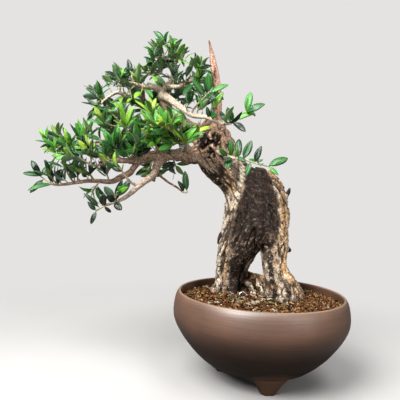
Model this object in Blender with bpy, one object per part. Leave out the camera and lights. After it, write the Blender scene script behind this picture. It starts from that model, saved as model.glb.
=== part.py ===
"""An olive bonsai in a round stoneware pot with three feet, as closed solids.

Metres, +Z up, the front of the tree towards -Y. The sizes below are in millimetres, from
the axis of the pot and the surface that the feet stand on. An empty moves it all sideways,
so that the middle of the whole thing is over the origin.
"""

import math
import random

import bmesh
import bpy
from mathutils import Vector
from mathutils.bvhtree import BVHTree

MM = 0.001
SHIFT_X = 90.5
SHIFT_Y = 0.0

# Pot: the widest ring, the lip above it and the underside below it.
POT_SIDES = 32
POT_RADIUS = 100.0
POT_WIDEST_Z = 70.5
POT_LIP_RADIUS = 94.0
POT_LIP_Z = 97.5
POT_BASE_RADIUS = 59.5
POT_BASE_Z = 20.0
POT_ROUNDING = 1.16
POT_WALL = 5.0
POT_FLOOR_Z = 25.5
POT_FLOOR_RADIUS = 53.0
DRAIN_RADIUS = 9.0

# Feet: height, distance from the axis, half width along the ring, half depth across it.
FOOT_RINGS = (
    (0.0, 43.0, 7.6, 6.2),
    (1.6, 43.0, 8.9, 7.5),
    (10.0, 44.5, 13.4, 10.0),
    (18.0, 48.0, 19.2, 11.0),
    (25.0, 53.0, 20.0, 6.0),
)
FOOT_AZIMUTHS = (-83.0, 37.0, 157.0)

# Soil: its level at the wall, the heap round the legs, and the height of its grains.
SOIL_SIDES = 26
SOIL_Z = 88.5
SOIL_HEAP = 5.0
SOIL_HEAP_RADIUS = 46.0
SOIL_GRAIN = 0.9
SOIL_RINGS = (16.0, 36.0, 56.0, 74.0)
GAP = 0.45

SCREEN_RADIUS = 15.0
SCREEN_THICKNESS = 1.1
SCREEN_PITCH = 6.6
SCREEN_HOLE = 4.4

WIRE_RADIUS = 0.8
WIRE_AT = (-21.0, -5.0)
WIRE_SPAN = 4.2
WIRE_TOP_Z = 98.5
WIRE_END_Z = 62.0

TRUNK_SIDES = 11
# Trunk: rings of (x, y, z, half width seen from the front, half depth).
LEFT_STRAND = (
    (-31.0, 38.0, 64.0, 18.0, 14.5),
    (-31.0, 37.5, 84.0, 18.5, 15.0),
    (-31.0, 36.0, 95.0, 17.5, 14.0),
    (-31.5, 33.0, 107.0, 18.0, 15.0),
    (-31.0, 29.0, 118.0, 18.5, 16.0),
    (-30.0, 25.0, 128.0, 19.2, 17.0),
    (-28.0, 20.0, 138.0, 20.5, 18.0),
    (-25.0, 15.0, 150.0, 23.0, 19.0),
    (-20.0, 11.0, 165.0, 25.5, 21.0),
    (-17.0, 9.0, 180.0, 27.0, 22.0),
    (-16.0, 8.0, 195.0, 28.0, 23.0),
    (-18.0, 8.0, 209.0, 28.0, 23.0),
    (-26.5, 7.0, 220.0, 24.0, 21.5),
    (-37.5, 6.0, 230.0, 19.8, 19.5),
    (-50.0, 5.0, 241.5, 21.0, 18.5),
    (-58.5, 4.0, 255.0, 23.0, 17.5),
    (-61.5, 4.0, 268.5, 22.2, 17.0),
    (-62.0, 4.0, 278.0, 18.5, 15.5),
    (-61.5, 5.0, 287.0, 14.0, 12.5),
    (-60.5, 6.0, 296.0, 8.8, 8.6),
    (-58.5, 7.0, 306.0, 5.8, 5.6),
    (-58.0, 8.0, 319.0, 4.9, 4.6),
    (-59.5, 8.0, 334.0, 4.8, 4.2),
    (-62.0, 8.0, 348.0, 4.6, 3.9),
    (-65.0, 8.0, 363.0, 3.6, 3.0),
    (-67.5, 8.0, 375.0, 2.3, 2.0),
    (-71.0, 8.0, 388.5, 0.7, 0.7),
)
RIGHT_STRAND = (
    (26.0, -2.0, 64.0, 20.0, 16.0),
    (26.0, -2.0, 84.0, 20.5, 16.5),
    (25.5, -2.0, 96.0, 19.5, 15.0),
    (22.0, -1.5, 107.0, 17.5, 13.5),
    (18.0, 0.0, 118.0, 14.8, 12.5),
    (15.5, 1.0, 129.0, 13.2, 12.0),
    (14.5, 3.0, 141.0, 13.6, 12.5),
    (13.5, 5.0, 153.0, 16.0, 14.5),
    (10.5, 7.0, 166.0, 19.0, 17.0),
    (9.0, 8.0, 180.0, 20.5, 18.0),
    (8.0, 8.0, 194.0, 20.0, 18.0),
    (5.0, 8.0, 207.0, 19.5, 18.0),
    (1.0, 8.0, 218.0, 18.5, 17.0),
    (-6.0, 7.5, 228.0, 13.5, 14.0),
    (-16.0, 7.0, 233.5, 8.5, 9.0),
)
FRONT_PANEL = (
    (-3.0, 3.0, 152.0, 9.0, 10.0),
    (-3.0, 4.0, 164.0, 13.0, 17.0),
    (-3.5, 4.0, 180.0, 15.0, 20.0),
    (-4.5, 4.0, 196.0, 16.0, 20.5),
    (-7.0, 4.5, 210.0, 16.0, 20.0),
    (-12.0, 5.0, 222.0, 14.0, 17.0),
    (-20.0, 6.0, 232.0, 8.0, 11.0),
)
# Ridges round a strand: how many, how high as a share of its width, and their turn a ring.
RIDGES = ((3, 0.035, 0.35), (5, 0.045, -0.25), (7, 0.03, 0.2))

KNOT_AT = (-66.0, -4.0, 263.0)
KNOT_RADII = (13.5, 12.0, 13.0)
HOLLOW_AT = (-66.5, -15.5, 263.0)
HOLLOW_RADII = (7.0, 7.0, 7.5)

# Roots, stubs and limbs: sides, then points of (x, y, z, radius) from where each grows.
GROWTHS = {
    "right_root": (6, ((19, 3, 132, 5.5), (27, 8, 120, 5.2), (35, 12, 112, 5), (42, 15, 104, 4.8),
                       (48, 18, 96, 4.4), (53, 21, 82, 3.8))),
    "front_root": (5, ((24, -8, 112, 6), (24, -17, 101, 5.5), (24, -24, 92, 5), (25, -29, 82, 4))),
    "right_heel": (5, ((32, -2, 108, 6), (41, -4, 97, 5), (47, -6, 84, 4))),
    "left_root": (5, ((-40, 30, 112, 6), (-49, 25, 99, 4.5), (-55, 22, 84, 3.6))),
    "left_toe": (5, ((-29, 22, 112, 6), (-30, 16, 99, 5), (-31, 10, 84, 4))),
    "arch_root": (5, ((-20, 30, 112, 5), (-8, 27, 111, 4), (3, 22, 109, 3.6), (12, 14, 100, 4),
                      (16, 6, 90, 5))),
    "cream_root": (4, ((-18, 26, 106, 4), (-10, 17, 101, 3.2), (-7, 10, 94, 2.8), (-6, 5, 82, 2.4))),
    "knuckle_root": (4, ((2, 23, 110, 4), (1, 16, 101, 3.2), (3, 9, 93, 3), (4, 4, 82, 2.6))),
    "flake": (4, ((-42, 12, 168, 3.4), (-49, 10, 159, 2.2), (-51, 10, 150, 0.8))),
    "nub": (4, ((24, 4, 148, 4), (31, 4, 147, 3.6), (33, 4, 145, 2))),
    "stub": (4, ((22, 6, 207, 4), (28, 5, 213, 2.4), (30, 4, 219, 1))),
    "low": (6, ((-55, 4, 256, 12), (-70, 3, 256, 10.5), (-88, 0, 251, 9), (-99, -3, 252, 6.4),
                (-110, -6, 250, 5.1), (-121, -8, 247, 4.8), (-132, -14, 246, 3.9),
                (-154, -24, 241, 3), (-169, -30, 240, 2.3), (-180, -34, 235, 1.6),
                (-191, -37, 233, 1.1))),
    "left": (4, ((-133, -14, 245.5, 3.2), (-144, -18, 240, 3.2), (-149, -18, 234, 3.2),
                 (-154, -15, 228, 3.2), (-165, -11, 223, 3), (-175, -8, 218, 2.7),
                 (-189, -5, 218, 2.3), (-202, -2, 218, 2.1), (-220, 2, 215, 1.7),
                 (-239, 5, 212, 1.3), (-250, 7, 213, 1))),
    "under": (4, ((-120, -8, 247, 4), (-124, -14, 237, 3.6), (-125, -20, 230, 3.3),
                  (-129, -24, 224, 2.9), (-137, -29, 217, 2.5), (-143, -32, 211, 2.2),
                  (-151, -36, 203, 1.9), (-160, -39, 197, 1.5), (-172, -43, 192, 1.1))),
    "fork": (4, ((-140, -30, 213, 1.8), (-147, -36, 216, 1.4), (-153, -42, 222, 1.1))),
    "hanging": (4, ((-125, -18, 231, 1.6), (-111, -22, 220, 1.2), (-100, -24, 214, 1.1),
                    (-94, -25, 209.5, 1))),
    "upper": (6, ((-60, 6, 272, 12), (-75, 12, 279, 9.4), (-92, 15, 288, 7.7), (-106, 16, 298, 6.6),
                  (-116, 15, 307, 5.5), (-123, 12, 319, 4.4), (-125, 8, 328, 3.8))),
    "crossing": (4, ((-123, 9, 322, 3.6), (-114, 0, 316, 3), (-105, -7, 309, 2.7),
                     (-93, -16, 299, 2.2), (-85, -20, 294, 1.9), (-71, -26, 292, 1.7),
                     (-62, -28, 288, 1.5), (-50, -28, 284, 1.2))),
    "top": (4, ((-124, 8, 326, 3.6), (-119, 9, 333, 3.1), (-114, 10, 340, 2.6),
                (-111, 11, 352, 2.1), (-110, 11, 359, 1.8), (-115, 10, 365, 1.5),
                (-124, 9, 368, 1.1))),
    "shelf": (4, ((-124, 8, 327, 3.4), (-134, 4, 330, 2.9), (-144, 0, 329, 2.5),
                  (-151, -3, 330, 2), (-159, -7, 331, 1.5), (-167, -10, 331, 1.1))),
    "rear": (4, ((-98, 15, 292, 5.5), (-112, 20, 298, 4.8), (-127, 26, 301, 4.1),
                 (-139, 28, 307, 3.7), (-149, 28, 315, 3.3), (-160, 25, 319, 2.9),
                 (-168, 23, 323, 2.5), (-178, 20, 326, 2.2), (-185, 18, 322, 1.8),
                 (-192, 16, 316, 1.3), (-196, 15, 311, 1))),
    "rear_shoot": (4, ((-177, 20, 325, 1.6), (-175, 19, 330, 1.2), (-175, 18, 335, 1))),
    "mid": (4, ((-115, -7, 249, 2.8), (-123, -15, 257, 2.5), (-128, -22, 270, 2),
                (-128, -26, 281, 1.3))),
    "cross_shoot": (4, ((-88, -18, 295.5, 1.5), (-85, -21, 301, 1.2), (-79, -24, 308, 1))),
    "right_top": (4, ((-119, 9, 333, 2.2), (-105, 2, 331, 1.7), (-91, -4, 336, 1.4),
                      (-84, -8, 343, 1.1))),
    "right_low": (4, ((-58, -4, 256, 2.4), (-55, -16, 255, 1.9), (-46, -26, 250, 1.5),
                      (-38, -32, 247.5, 1.2))),
    "back_low": (4, ((-99, -1, 253, 4), (-112, 14, 257, 3.4), (-130, 32, 258, 2.6),
                     (-150, 43, 253, 2), (-172, 49, 248, 1.3))),
    "back_high": (4, ((-66, 10, 268, 6), (-79, 28, 272, 3.6), (-93, 43, 277, 2.6),
                      (-107, 53, 283, 1.6))),
    "back_top": (4, ((-116, 14, 307, 4), (-115, 30, 318, 2.4), (-119, 43, 329, 1.4))),
    "front_mid": (4, ((-88, 0, 252, 4.5), (-93, -18, 263, 2.9), (-101, -33, 271, 2.2),
                      (-107, -44, 279, 1.4))),
    "rise": (4, ((-133, -14, 246, 3.2), (-147, -8, 256, 2.7), (-166, -2, 263, 2.2),
                 (-186, 0, 265, 1.8), (-206, 0, 260, 1.4), (-224, 2, 257, 1.1))),
    "rise_back": (4, ((-148, -8, 256.5, 2.2), (-158, 6, 267, 1.8), (-171, 13, 275, 1.4),
                      (-182, 15, 282, 1.1))),
    "rise_front": (4, ((-150, -7, 257.5, 2.2), (-156, -17, 269, 1.7), (-160, -21, 280, 1.2))),
}
BURIED = ("right_root", "front_root", "right_heel", "left_root", "left_toe", "arch_root",
          "cream_root", "knuckle_root")

# Leafy sprays: the limb, how far along its points, the outermost leaf tip, side twigs.
SPRAYS = (
    ("top", 5.5, (-142, -4, 361), 1),
    ("top", 4.1, (-92, -20, 356), 1),
    ("top", 3.4, (-124, 40, 366), 2),
    ("top", 2.3, (-154, -12, 343), 2),
    ("right_top", 3.0, (-80, -12, 347), 1),
    ("right_top", 2.2, (-72, -18, 326), 1),
    ("crossing", 4.2, (-75, -24, 313), 1),
    ("right_top", 1.4, (-93, -26, 322), 1),
    ("shelf", 5.0, (-184, -16, 326), 0),
    ("shelf", 3.2, (-171, -14, 303), 1),
    ("shelf", 2.0, (-143, -32, 311), 1),
    ("back_top", 2.0, (-126, 64, 344), 2),
    ("back_top", 1.2, (-92, 52, 340), 1),
    ("rear_shoot", 2.0, (-173, 14, 341), 1),
    ("rear", 10.0, (-201, 12, 301), 1),
    ("rear", 8.6, (-195, 22, 316), 1),
    ("rear", 4.8, (-166, 52, 332), 2),
    ("rear", 3.5, (-149, 8, 296), 1),
    ("mid", 3.0, (-132, -34, 305), 1),
    ("mid", 1.4, (-117, -42, 293), 1),
    ("mid", 0.8, (-132, -44, 272), 1),
    ("front_mid", 3.0, (-96, -62, 298), 1),
    ("front_mid", 2.3, (-122, -62, 278), 1),
    ("front_mid", 1.6, (-84, -46, 284), 1),
    ("front_mid", 1.0, (-112, -48, 255), 1),
    ("rise_front", 2.0, (-166, -30, 301), 1),
    ("rise", 1.0, (-143, -16, 292), 2),
    ("rise", 2.4, (-183, -26, 289), 1),
    ("rise_back", 3.0, (-192, 18, 297), 1),
    ("rise", 3.9, (-212, 4, 281), 1),
    ("rise", 4.5, (-232, -20, 258), 1),
    ("rise", 5.0, (-262, 8, 259), 1),
    ("rise", 4.8, (-250, -12, 252), 0),
    ("low", 10.0, (-228, -34, 246), 1),
    ("low", 8.8, (-202, -46, 256), 1),
    ("low", 7.6, (-170, -52, 264), 1),
    ("low", 6.6, (-146, -50, 254), 1),
    ("low", 5.4, (-136, -26, 227), 1),
    ("low", 3.9, (-101, 16, 233), 1),
    ("back_low", 4.0, (-202, 54, 258), 2),
    ("back_low", 3.0, (-152, 68, 276), 2),
    ("back_high", 3.0, (-130, 70, 300), 2),
    ("left", 7.8, (-222, 20, 238), 1),
    ("left", 6.6, (-206, -24, 236), 1),
    ("left", 5.2, (-186, -12, 238), 1),
    ("left", 6.0, (-200, -14, 196), 0),
    ("under", 7.4, (-156, -56, 216), 1),
    ("fork", 2.0, (-168, -56, 240), 1),
)
# Sprays that stand apart, so that each leaf shows: limb, then the twig and the leaf tips.
OPEN_SPRAYS = (
    ("top", ((-119, 9, 377), (-121, 8, 384)),
     ((-136.5, 8, 397), (-107, 7, 388), (-104, 4, 377), (-133, -2, 384), (-117, -8, 391),
      (-124, 22, 386), (-139, 12, 377))),
    ("crossing", ((-43, -27, 286), (-34, -25, 294), (-26, -24, 301)),
     ((-22, -24, 323), (-5, -29, 309), (-18, -47, 297), (-28, -36, 276), (-49, -34, 302),
      (-56, -22, 300), (-15, -10, 299))),
    ("cross_shoot", ((-72, -27, 315), (-68, -28, 319)),
     ((-48, -31, 327), (-71, -34, 338), (-52, -20, 313), (-88, -34, 330), (-62, -42, 308))),
    ("right_low", ((-28, -37, 246), (-19, -39, 243), (-11, -40, 241), (-1, -41, 239)),
     ((22, -42, 251), (-11, -40, 261), (-21, -36, 267), (-34, -28, 270), (-42, -30, 270),
      (7, -46, 230), (-26, -42, 228), (-9, -20, 248), (-14, -58, 238))),
    ("left", ((-257, 8, 218), (-263, 9, 222)),
     ((-275, 11, 240), (-281, 3, 224), (-275, 4, 198), (-253, 18, 236), (-262, -8, 234))),
    ("hanging", ((-90, -25, 208.5), (-88, -25, 210)),
     ((-92, -27, 234), (-99, -30, 221))),
    ("under", ((-179, -44, 188), (-183, -45, 185)),
     ((-187, -46, 171), (-191, -49, 195), (-173, -56, 203), (-168, -38, 184))),
)
CROWN_MIDDLE = (-135.0, 0.0, 262.0)
TWIG = (1.05, 0.75)
SIDE_TWIG = (0.85, 0.65)
TWIG_SIDES = 4
TWIG_STEPS = 2
LEAF_SPACING = 8.8
LEAF_LENGTH = (18.0, 24.0)
LEAF_WIDTH = 0.4
LEAF_DEEP = 1.0
ROOT_BEYOND = 0.0
SEED = 41

MATERIALS = {
    "stoneware": ((0.16, 0.09, 0.065), 0.55, 0.0),
    "gravel": ((0.36, 0.19, 0.09), 0.9, 0.0),
    "bark": ((0.24, 0.17, 0.12), 0.85, 0.0),
    "olive_leaf": ((0.035, 0.13, 0.03), 0.4, 0.0),
    "aluminium_wire": ((0.75, 0.75, 0.76), 0.3, 1.0),
    "plastic_mesh": ((0.03, 0.03, 0.03), 0.5, 0.0),
}


def material(name):
    """The plain material of that name, made once."""
    found = bpy.data.materials.get(name)
    if found:
        return found
    made = bpy.data.materials.new(name)
    made.use_nodes = True
    colour, roughness, metallic = MATERIALS[name]
    shader = made.node_tree.nodes["Principled BSDF"]
    shader.inputs["Base Color"].default_value = (*colour, 1.0)
    shader.inputs["Roughness"].default_value = roughness
    shader.inputs["Metallic"].default_value = metallic
    return made


def clear_scene():
    for obj in list(bpy.data.objects):
        bpy.data.objects.remove(obj, do_unlink=True)


def build(name, shape, slot):
    """An object from (points in millimetres, faces), closed and facing out."""
    points, faces = shape
    mesh = bpy.data.meshes.new(name)
    mesh.from_pydata([[c * MM for c in p] for p in points], [], faces)
    work = bmesh.new()
    work.from_mesh(mesh)
    bmesh.ops.recalc_face_normals(work, faces=work.faces)
    work.to_mesh(mesh)
    work.free()
    obj = bpy.data.objects.new(name, mesh)
    obj.data.materials.append(material(slot))
    bpy.context.scene.collection.objects.link(obj)
    return obj


def combine(obj, others, operation):
    """Applies one Boolean of obj with all the others, which are then removed."""
    group = bpy.data.collections.new("operands")
    bpy.context.scene.collection.children.link(group)
    for other in others:
        bpy.context.scene.collection.objects.unlink(other)
        group.objects.link(other)
    step = obj.modifiers.new("Join", "BOOLEAN")
    step.operation = operation
    step.operand_type = "COLLECTION"
    step.collection = group
    step.solver = "MANIFOLD"
    graph = bpy.context.evaluated_depsgraph_get()
    result = bpy.data.meshes.new_from_object(obj.evaluated_get(graph))
    obj.modifiers.clear()
    old = obj.data
    obj.data = result
    bpy.data.meshes.remove(old)
    for other in others:
        bpy.data.objects.remove(other, do_unlink=True)
    bpy.data.collections.remove(group)
    return obj


def smooth(obj, degrees):
    obj.data.shade_smooth()
    obj.data.set_sharp_from_angle(angle=math.radians(degrees))


def rings_to_shape(rings, closed_loop=False):
    """Quads between rings of equal length, with flat ends unless the rings close on themselves."""
    size = len(rings[0])
    points = [p for ring in rings for p in ring]
    faces = []
    steps = len(rings) if closed_loop else len(rings) - 1
    for i in range(steps):
        a = i * size
        b = (i + 1) % len(rings) * size
        for k in range(size):
            n = (k + 1) % size
            faces.append((a + k, a + n, b + n, b + k))
    if not closed_loop:
        faces.append(tuple(range(size))[::-1])
        faces.append(tuple(range((len(rings) - 1) * size, len(rings) * size)))
    return points, faces


def lathe(profile, sides):
    """A closed ring of (radius, height) turned round the axis."""
    rings = []
    for radius, height in profile:
        turn = [math.tau * k / sides for k in range(sides)]
        rings.append([(radius * math.cos(a), radius * math.sin(a), height) for a in turn])
    return rings_to_shape(rings, closed_loop=True)


def path_frames(points):
    """The direction and a crosswise direction at each point, turning as little as can be."""
    centres = [Vector(p[:3]) for p in points]
    last = len(points) - 1
    across = None
    frames = []
    for i in range(last + 1):
        ahead = (centres[min(i + 1, last)] - centres[max(i - 1, 0)]).normalized()
        across = across or ahead.orthogonal()
        across = (across - ahead * across.dot(ahead)).normalized()
        frames.append((ahead, across))
    return frames


def tube(points, sides):
    """A closed limb along points of (x, y, z, radius), with a flat side crosswise."""
    rings = []
    for (x, y, z, radius), (ahead, across) in zip(points, path_frames(points)):
        centre = Vector((x, y, z))
        up = ahead.cross(across)
        ring = []
        for k in range(sides):
            a = math.tau * (k + 0.5) / sides
            ring.append(centre + (across * math.cos(a) + up * math.sin(a)) * radius)
        rings.append(ring)
    return rings_to_shape(rings)


def strand(rings, sides, grow=0.0):
    """A ridged oval strand of trunk; its half widths are across the line in the photo plane."""
    centres = [Vector(r[:3]) for r in rings]
    last = len(rings) - 1
    made = []
    for i, centre in enumerate(centres):
        ahead = (centres[min(i + 1, last)] - centres[max(i - 1, 0)]).normalized()
        across = Vector((0, 1, 0)).cross(ahead).normalized()
        back = ahead.cross(across)
        ring = []
        for k in range(sides):
            a = math.tau * k / sides
            lift = 1 + sum(h * math.sin(n * a + turn * i + n) for n, h, turn in RIDGES)
            wide = rings[i][3] * lift + grow
            deep = rings[i][4] * lift + grow
            ring.append(centre + across * (math.cos(a) * wide) + back * (math.sin(a) * deep))
        made.append(ring)
    return rings_to_shape(made)


def ball(at, radii, around, down):
    """A closed ellipsoid with its poles towards the front and back."""
    rings = []
    for j in range(1, down):
        tilt = math.pi * j / down
        ring = []
        for k in range(around):
            a = math.tau * k / around
            x = radii[0] * math.sin(tilt) * math.cos(a)
            z = radii[2] * math.sin(tilt) * math.sin(a)
            ring.append((at[0] + x, at[1] - radii[1] * math.cos(tilt), at[2] + z))
        rings.append(ring)
    return rings_to_shape(rings)


def pot_outside():
    """The outer wall from the underside to the lip, as (radius, height)."""
    wall = []
    for s in (1.0, 0.86, 0.68, 0.5, 0.32, 0.15, 0.0):
        reach = (1 - s**POT_ROUNDING) ** (1 / POT_ROUNDING)
        radius = POT_BASE_RADIUS + (POT_RADIUS - POT_BASE_RADIUS) * reach
        wall.append((radius, POT_WIDEST_Z - (POT_WIDEST_Z - POT_BASE_Z) * s))
    for degrees in (30, 56, 80):
        a = math.radians(degrees)
        radius = POT_LIP_RADIUS + (POT_RADIUS - POT_LIP_RADIUS) * math.cos(a)
        wall.append((radius, POT_WIDEST_Z + (POT_LIP_Z - POT_WIDEST_Z) * math.sin(a)))
    return wall


def pot_inside(outside, clear=0.0):
    """The outer wall set in by the thickness of the clay, from the floor up."""
    inside = []
    for i in range(1, len(outside)):
        before, after = outside[i - 1], outside[min(i + 1, len(outside) - 1)]
        run, rise = after[0] - before[0], after[1] - before[1]
        length = math.hypot(run, rise)
        step = POT_WALL + clear
        radius = outside[i][0] - rise / length * step
        height = outside[i][1] + run / length * step
        if height > POT_FLOOR_Z + 2.5:
            inside.append((radius, height))
    return inside


def foot(azimuth):
    """A tapered nub that spreads into the underside of the bowl."""
    a = math.radians(azimuth)
    out = Vector((math.cos(a), math.sin(a), 0))
    along = Vector((-math.sin(a), math.cos(a), 0))
    rings = []
    for height, away, wide, deep in FOOT_RINGS:
        ring = []
        for k in range(12):
            b = math.tau * k / 12
            c, s = math.cos(b), math.sin(b)
            flat = out * (away + deep * math.copysign(abs(c) ** 0.7, c))
            ring.append(flat + along * wide * math.copysign(abs(s) ** 0.7, s) + Vector((0, 0, height)))
        rings.append(ring)
    return rings_to_shape(rings)


def make_pot():
    outside = pot_outside()
    lip = [(POT_LIP_RADIUS - 1.2, POT_LIP_Z + 0.9), (POT_LIP_RADIUS - 3.4, POT_LIP_Z + 0.7)]
    inside = pot_inside(outside)
    floor = [(POT_FLOOR_RADIUS, POT_FLOOR_Z), (DRAIN_RADIUS, POT_FLOOR_Z)]
    profile = [(DRAIN_RADIUS, POT_BASE_Z), *outside, *lip, *reversed(inside), *floor]
    pot = build("pot", lathe(profile, POT_SIDES), "stoneware")
    feet = [build(f"foot_{n}", foot(a), "stoneware") for n, a in enumerate(FOOT_AZIMUTHS)]
    combine(pot, feet, "UNION")
    smooth(pot, 50)
    return pot


def make_screen():
    low = POT_FLOOR_Z + GAP
    rings = []
    for height in (low, low + SCREEN_THICKNESS):
        turn = [math.tau * k / 20 for k in range(20)]
        ring = [(SCREEN_RADIUS * math.cos(a), SCREEN_RADIUS * math.sin(a), height) for a in turn]
        rings.append(ring)
    screen = build("drainage_screen", rings_to_shape(rings), "plastic_mesh")
    holes = []
    half = SCREEN_HOLE / 2
    for i in range(-1, 2):
        for j in range(-1, 2):
            x, y = i * SCREEN_PITCH, j * SCREEN_PITCH
            sides = []
            for height in (low - 1, low + SCREEN_THICKNESS + 1):
                corners = ((-half, -half), (half, -half), (half, half), (-half, half))
                sides.append([(x + u, y + v, height) for u, v in corners])
            holes.append(build(f"hole_{i}_{j}", rings_to_shape(sides), "plastic_mesh"))
    return combine(screen, holes, "DIFFERENCE")


def soil_height(x, y, rng):
    """The surface of the gravel: heaped round the legs and rough with grains."""
    heap = SOIL_HEAP * math.exp(-((x - 2) ** 2 + (y - 12) ** 2) / SOIL_HEAP_RADIUS**2)
    return SOIL_Z + heap + rng.uniform(-SOIL_GRAIN, SOIL_GRAIN)


def make_soil():
    rng = random.Random(SEED)
    wall = [p for p in pot_inside(pot_outside(), GAP + 0.2) if p[1] < SOIL_Z - 3]
    low = POT_FLOOR_Z + GAP + SCREEN_THICKNESS + GAP
    top_radius = wall[-1][0]
    rings = [[(0.0, 0.0)]]
    points = [(0, 0, low)]
    faces = []
    lower = [(POT_FLOOR_RADIUS - 1.5, low)] + [(r, max(z, low + 0.5)) for r, z in wall]
    turn = [math.tau * k / SOIL_SIDES for k in range(SOIL_SIDES)]
    for radius, height in lower:
        points += [(radius * math.cos(a), radius * math.sin(a), height) for a in turn]
    edge = min(top_radius, POT_LIP_RADIUS - 7)
    for radius in (edge, *reversed(SOIL_RINGS)):
        for a in turn:
            x, y = radius * math.cos(a), radius * math.sin(a)
            points.append((x, y, soil_height(x, y, rng)))
    points.append((0, 0, soil_height(0, 0, rng)))
    loops = len(lower) + 1 + len(SOIL_RINGS)
    for k in range(SOIL_SIDES):
        n = (k + 1) % SOIL_SIDES
        faces.append((0, 1 + n, 1 + k))
        for i in range(loops - 1):
            a, b = 1 + i * SOIL_SIDES, 1 + (i + 1) * SOIL_SIDES
            faces.append((a + k, a + n, b + n))
            faces.append((a + k, b + n, b + k))
        a = 1 + (loops - 1) * SOIL_SIDES
        faces.append((a + k, a + n, len(points) - 1))
    soil = build("soil", (points, faces), "gravel")
    holes = [
        build("left_hole", strand(LEFT_STRAND[:5], TRUNK_SIDES, GAP + 0.15), "gravel"),
        build("right_hole", strand(RIGHT_STRAND[:5], TRUNK_SIDES, GAP + 0.15), "gravel"),
    ]
    for name in BURIED:
        sides, path = GROWTHS[name]
        wider = [(x, y, z, r + GAP + 0.25) for x, y, z, r in path]
        holes.append(build(f"hole_{name}", tube(wider, sides), "gravel"))
    for x in (WIRE_AT[0] - WIRE_SPAN, WIRE_AT[0] + WIRE_SPAN):
        y = WIRE_AT[1]
        path = ((x, y, WIRE_END_Z - 1, WIRE_RADIUS + GAP), (x, y, WIRE_TOP_Z + 9, WIRE_RADIUS + GAP))
        holes.append(build("wire_hole", tube(path, 6), "gravel"))
    return combine(soil, holes, "DIFFERENCE")


def make_wire():
    """A bent pin of bare wire pushed into the soil."""
    x, y = WIRE_AT
    path = [(x - WIRE_SPAN, y, WIRE_END_Z, WIRE_RADIUS)]
    for k in range(7):
        a = math.pi * (1 - k / 6)
        high = WIRE_TOP_Z - WIRE_SPAN - WIRE_RADIUS + WIRE_SPAN * math.sin(a)
        path.append((x + WIRE_SPAN * math.cos(a), y, high, WIRE_RADIUS))
    path.append((x + WIRE_SPAN, y, WIRE_END_Z, WIRE_RADIUS))
    wire = build("fixing_wire", tube(path, 8), "aluminium_wire")
    smooth(wire, 60)
    return wire


def make_trunk():
    """The two legs, roots, hollow knot, dead spike and limbs, as one solid."""
    trunk = build("trunk", strand(LEFT_STRAND, TRUNK_SIDES), "bark")
    others = [
        build("right_strand", strand(RIGHT_STRAND, TRUNK_SIDES), "bark"),
        build("front_panel", strand(FRONT_PANEL, 10), "bark"),
        build("knot", ball(KNOT_AT, KNOT_RADII, 10, 6), "bark"),
    ]
    for name, (sides, path) in GROWTHS.items():
        others.append(build(name, tube(path, sides), "bark"))
    combine(trunk, others, "UNION")
    hollow = build("hollow", ball(HOLLOW_AT, HOLLOW_RADII, 9, 6), "bark")
    combine(trunk, [hollow], "DIFFERENCE")
    smooth(trunk, 35)
    return trunk


def leaf(root, tip, face, width, deep=LEAF_DEEP, arch=0.09):
    """An oblong blade from a pointed root: three-cornered rings, two edges and the rib below."""
    along = tip - root
    length = along.length
    axis = along / length
    out = (face - axis * face.dot(axis)).normalized()
    side = axis.cross(out)
    points = [root]
    for t, wide in ((0.36, 0.94), (0.78, 0.78)):
        reach = width / 2 * wide
        middle = root + axis * (length * t) + out * (length * arch * math.sin(math.pi * t))
        points += [middle + side * reach, middle - side * reach, middle - out * deep]
    points.append(tip)
    faces = [(0, 2, 1), (0, 3, 2), (0, 1, 3), (4, 5, 7), (5, 6, 7), (6, 4, 7)]
    for k in range(3):
        n = (k + 1) % 3
        faces.append((1 + k, 1 + n, 4 + n))
        faces.append((1 + k, 4 + n, 4 + k))
    return points, faces


class Thicket:
    """All that has been placed so far, so that what comes next can be kept clear of it."""

    def __init__(self):
        self.placed = []

    def add(self, owner, shape):
        points = [Vector(p) for p in shape[0]]
        middle = sum(points, Vector()) / len(points)
        reach = max((p - middle).length for p in points)
        self.placed.append((owner, middle, reach, BVHTree.FromPolygons(points, shape[1])))

    def hits(self, owner, shape, own_shape=None):
        """True where the shape crosses others, or own_shape crosses its own spray."""
        points = [Vector(p) for p in shape[0]]
        middle = sum(points, Vector()) / len(points)
        reach = max((p - middle).length for p in points)
        tree = BVHTree.FromPolygons(points, shape[1])
        own = BVHTree.FromPolygons(*own_shape) if own_shape else None
        for other, centre, far, placed in self.placed:
            if (centre - middle).length > reach + far:
                continue
            if other != owner:
                if tree.overlap(placed):
                    return True
            elif own and own.overlap(placed):
                return True
        return False


def along_path(points, at):
    """The place, radius and direction at a position counted in points along a path."""
    i = min(int(at), len(points) - 2)
    f = at - i
    a, b = Vector(points[i][:3]), Vector(points[i + 1][:3])
    return a.lerp(b, f), points[i][3] * (1 - f) + points[i + 1][3] * f, (b - a).normalized()


def bowed(start, end, rise, radii, steps):
    """A twig from start to end that lifts in its middle, or a straight one of one step."""
    path = []
    for k in range(steps + 1):
        t = k / steps
        here = start.lerp(end, t) + Vector((0, 0, rise * 4 * t * (1 - t)))
        path.append((*here, radii[0] * (1 - t) + radii[1] * t))
    return path


def thicker(path, by, skip=0.0):
    """The same path with wider rings, for a test of clearance, without its first part."""
    first, _, _ = along_path(path, skip * (len(path) - 1))
    kept = [p for i, p in enumerate(path) if i > skip * (len(path) - 1)]
    return [(x, y, z, r + by) for x, y, z, r in [(*first, path[0][3]), *kept]]


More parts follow.
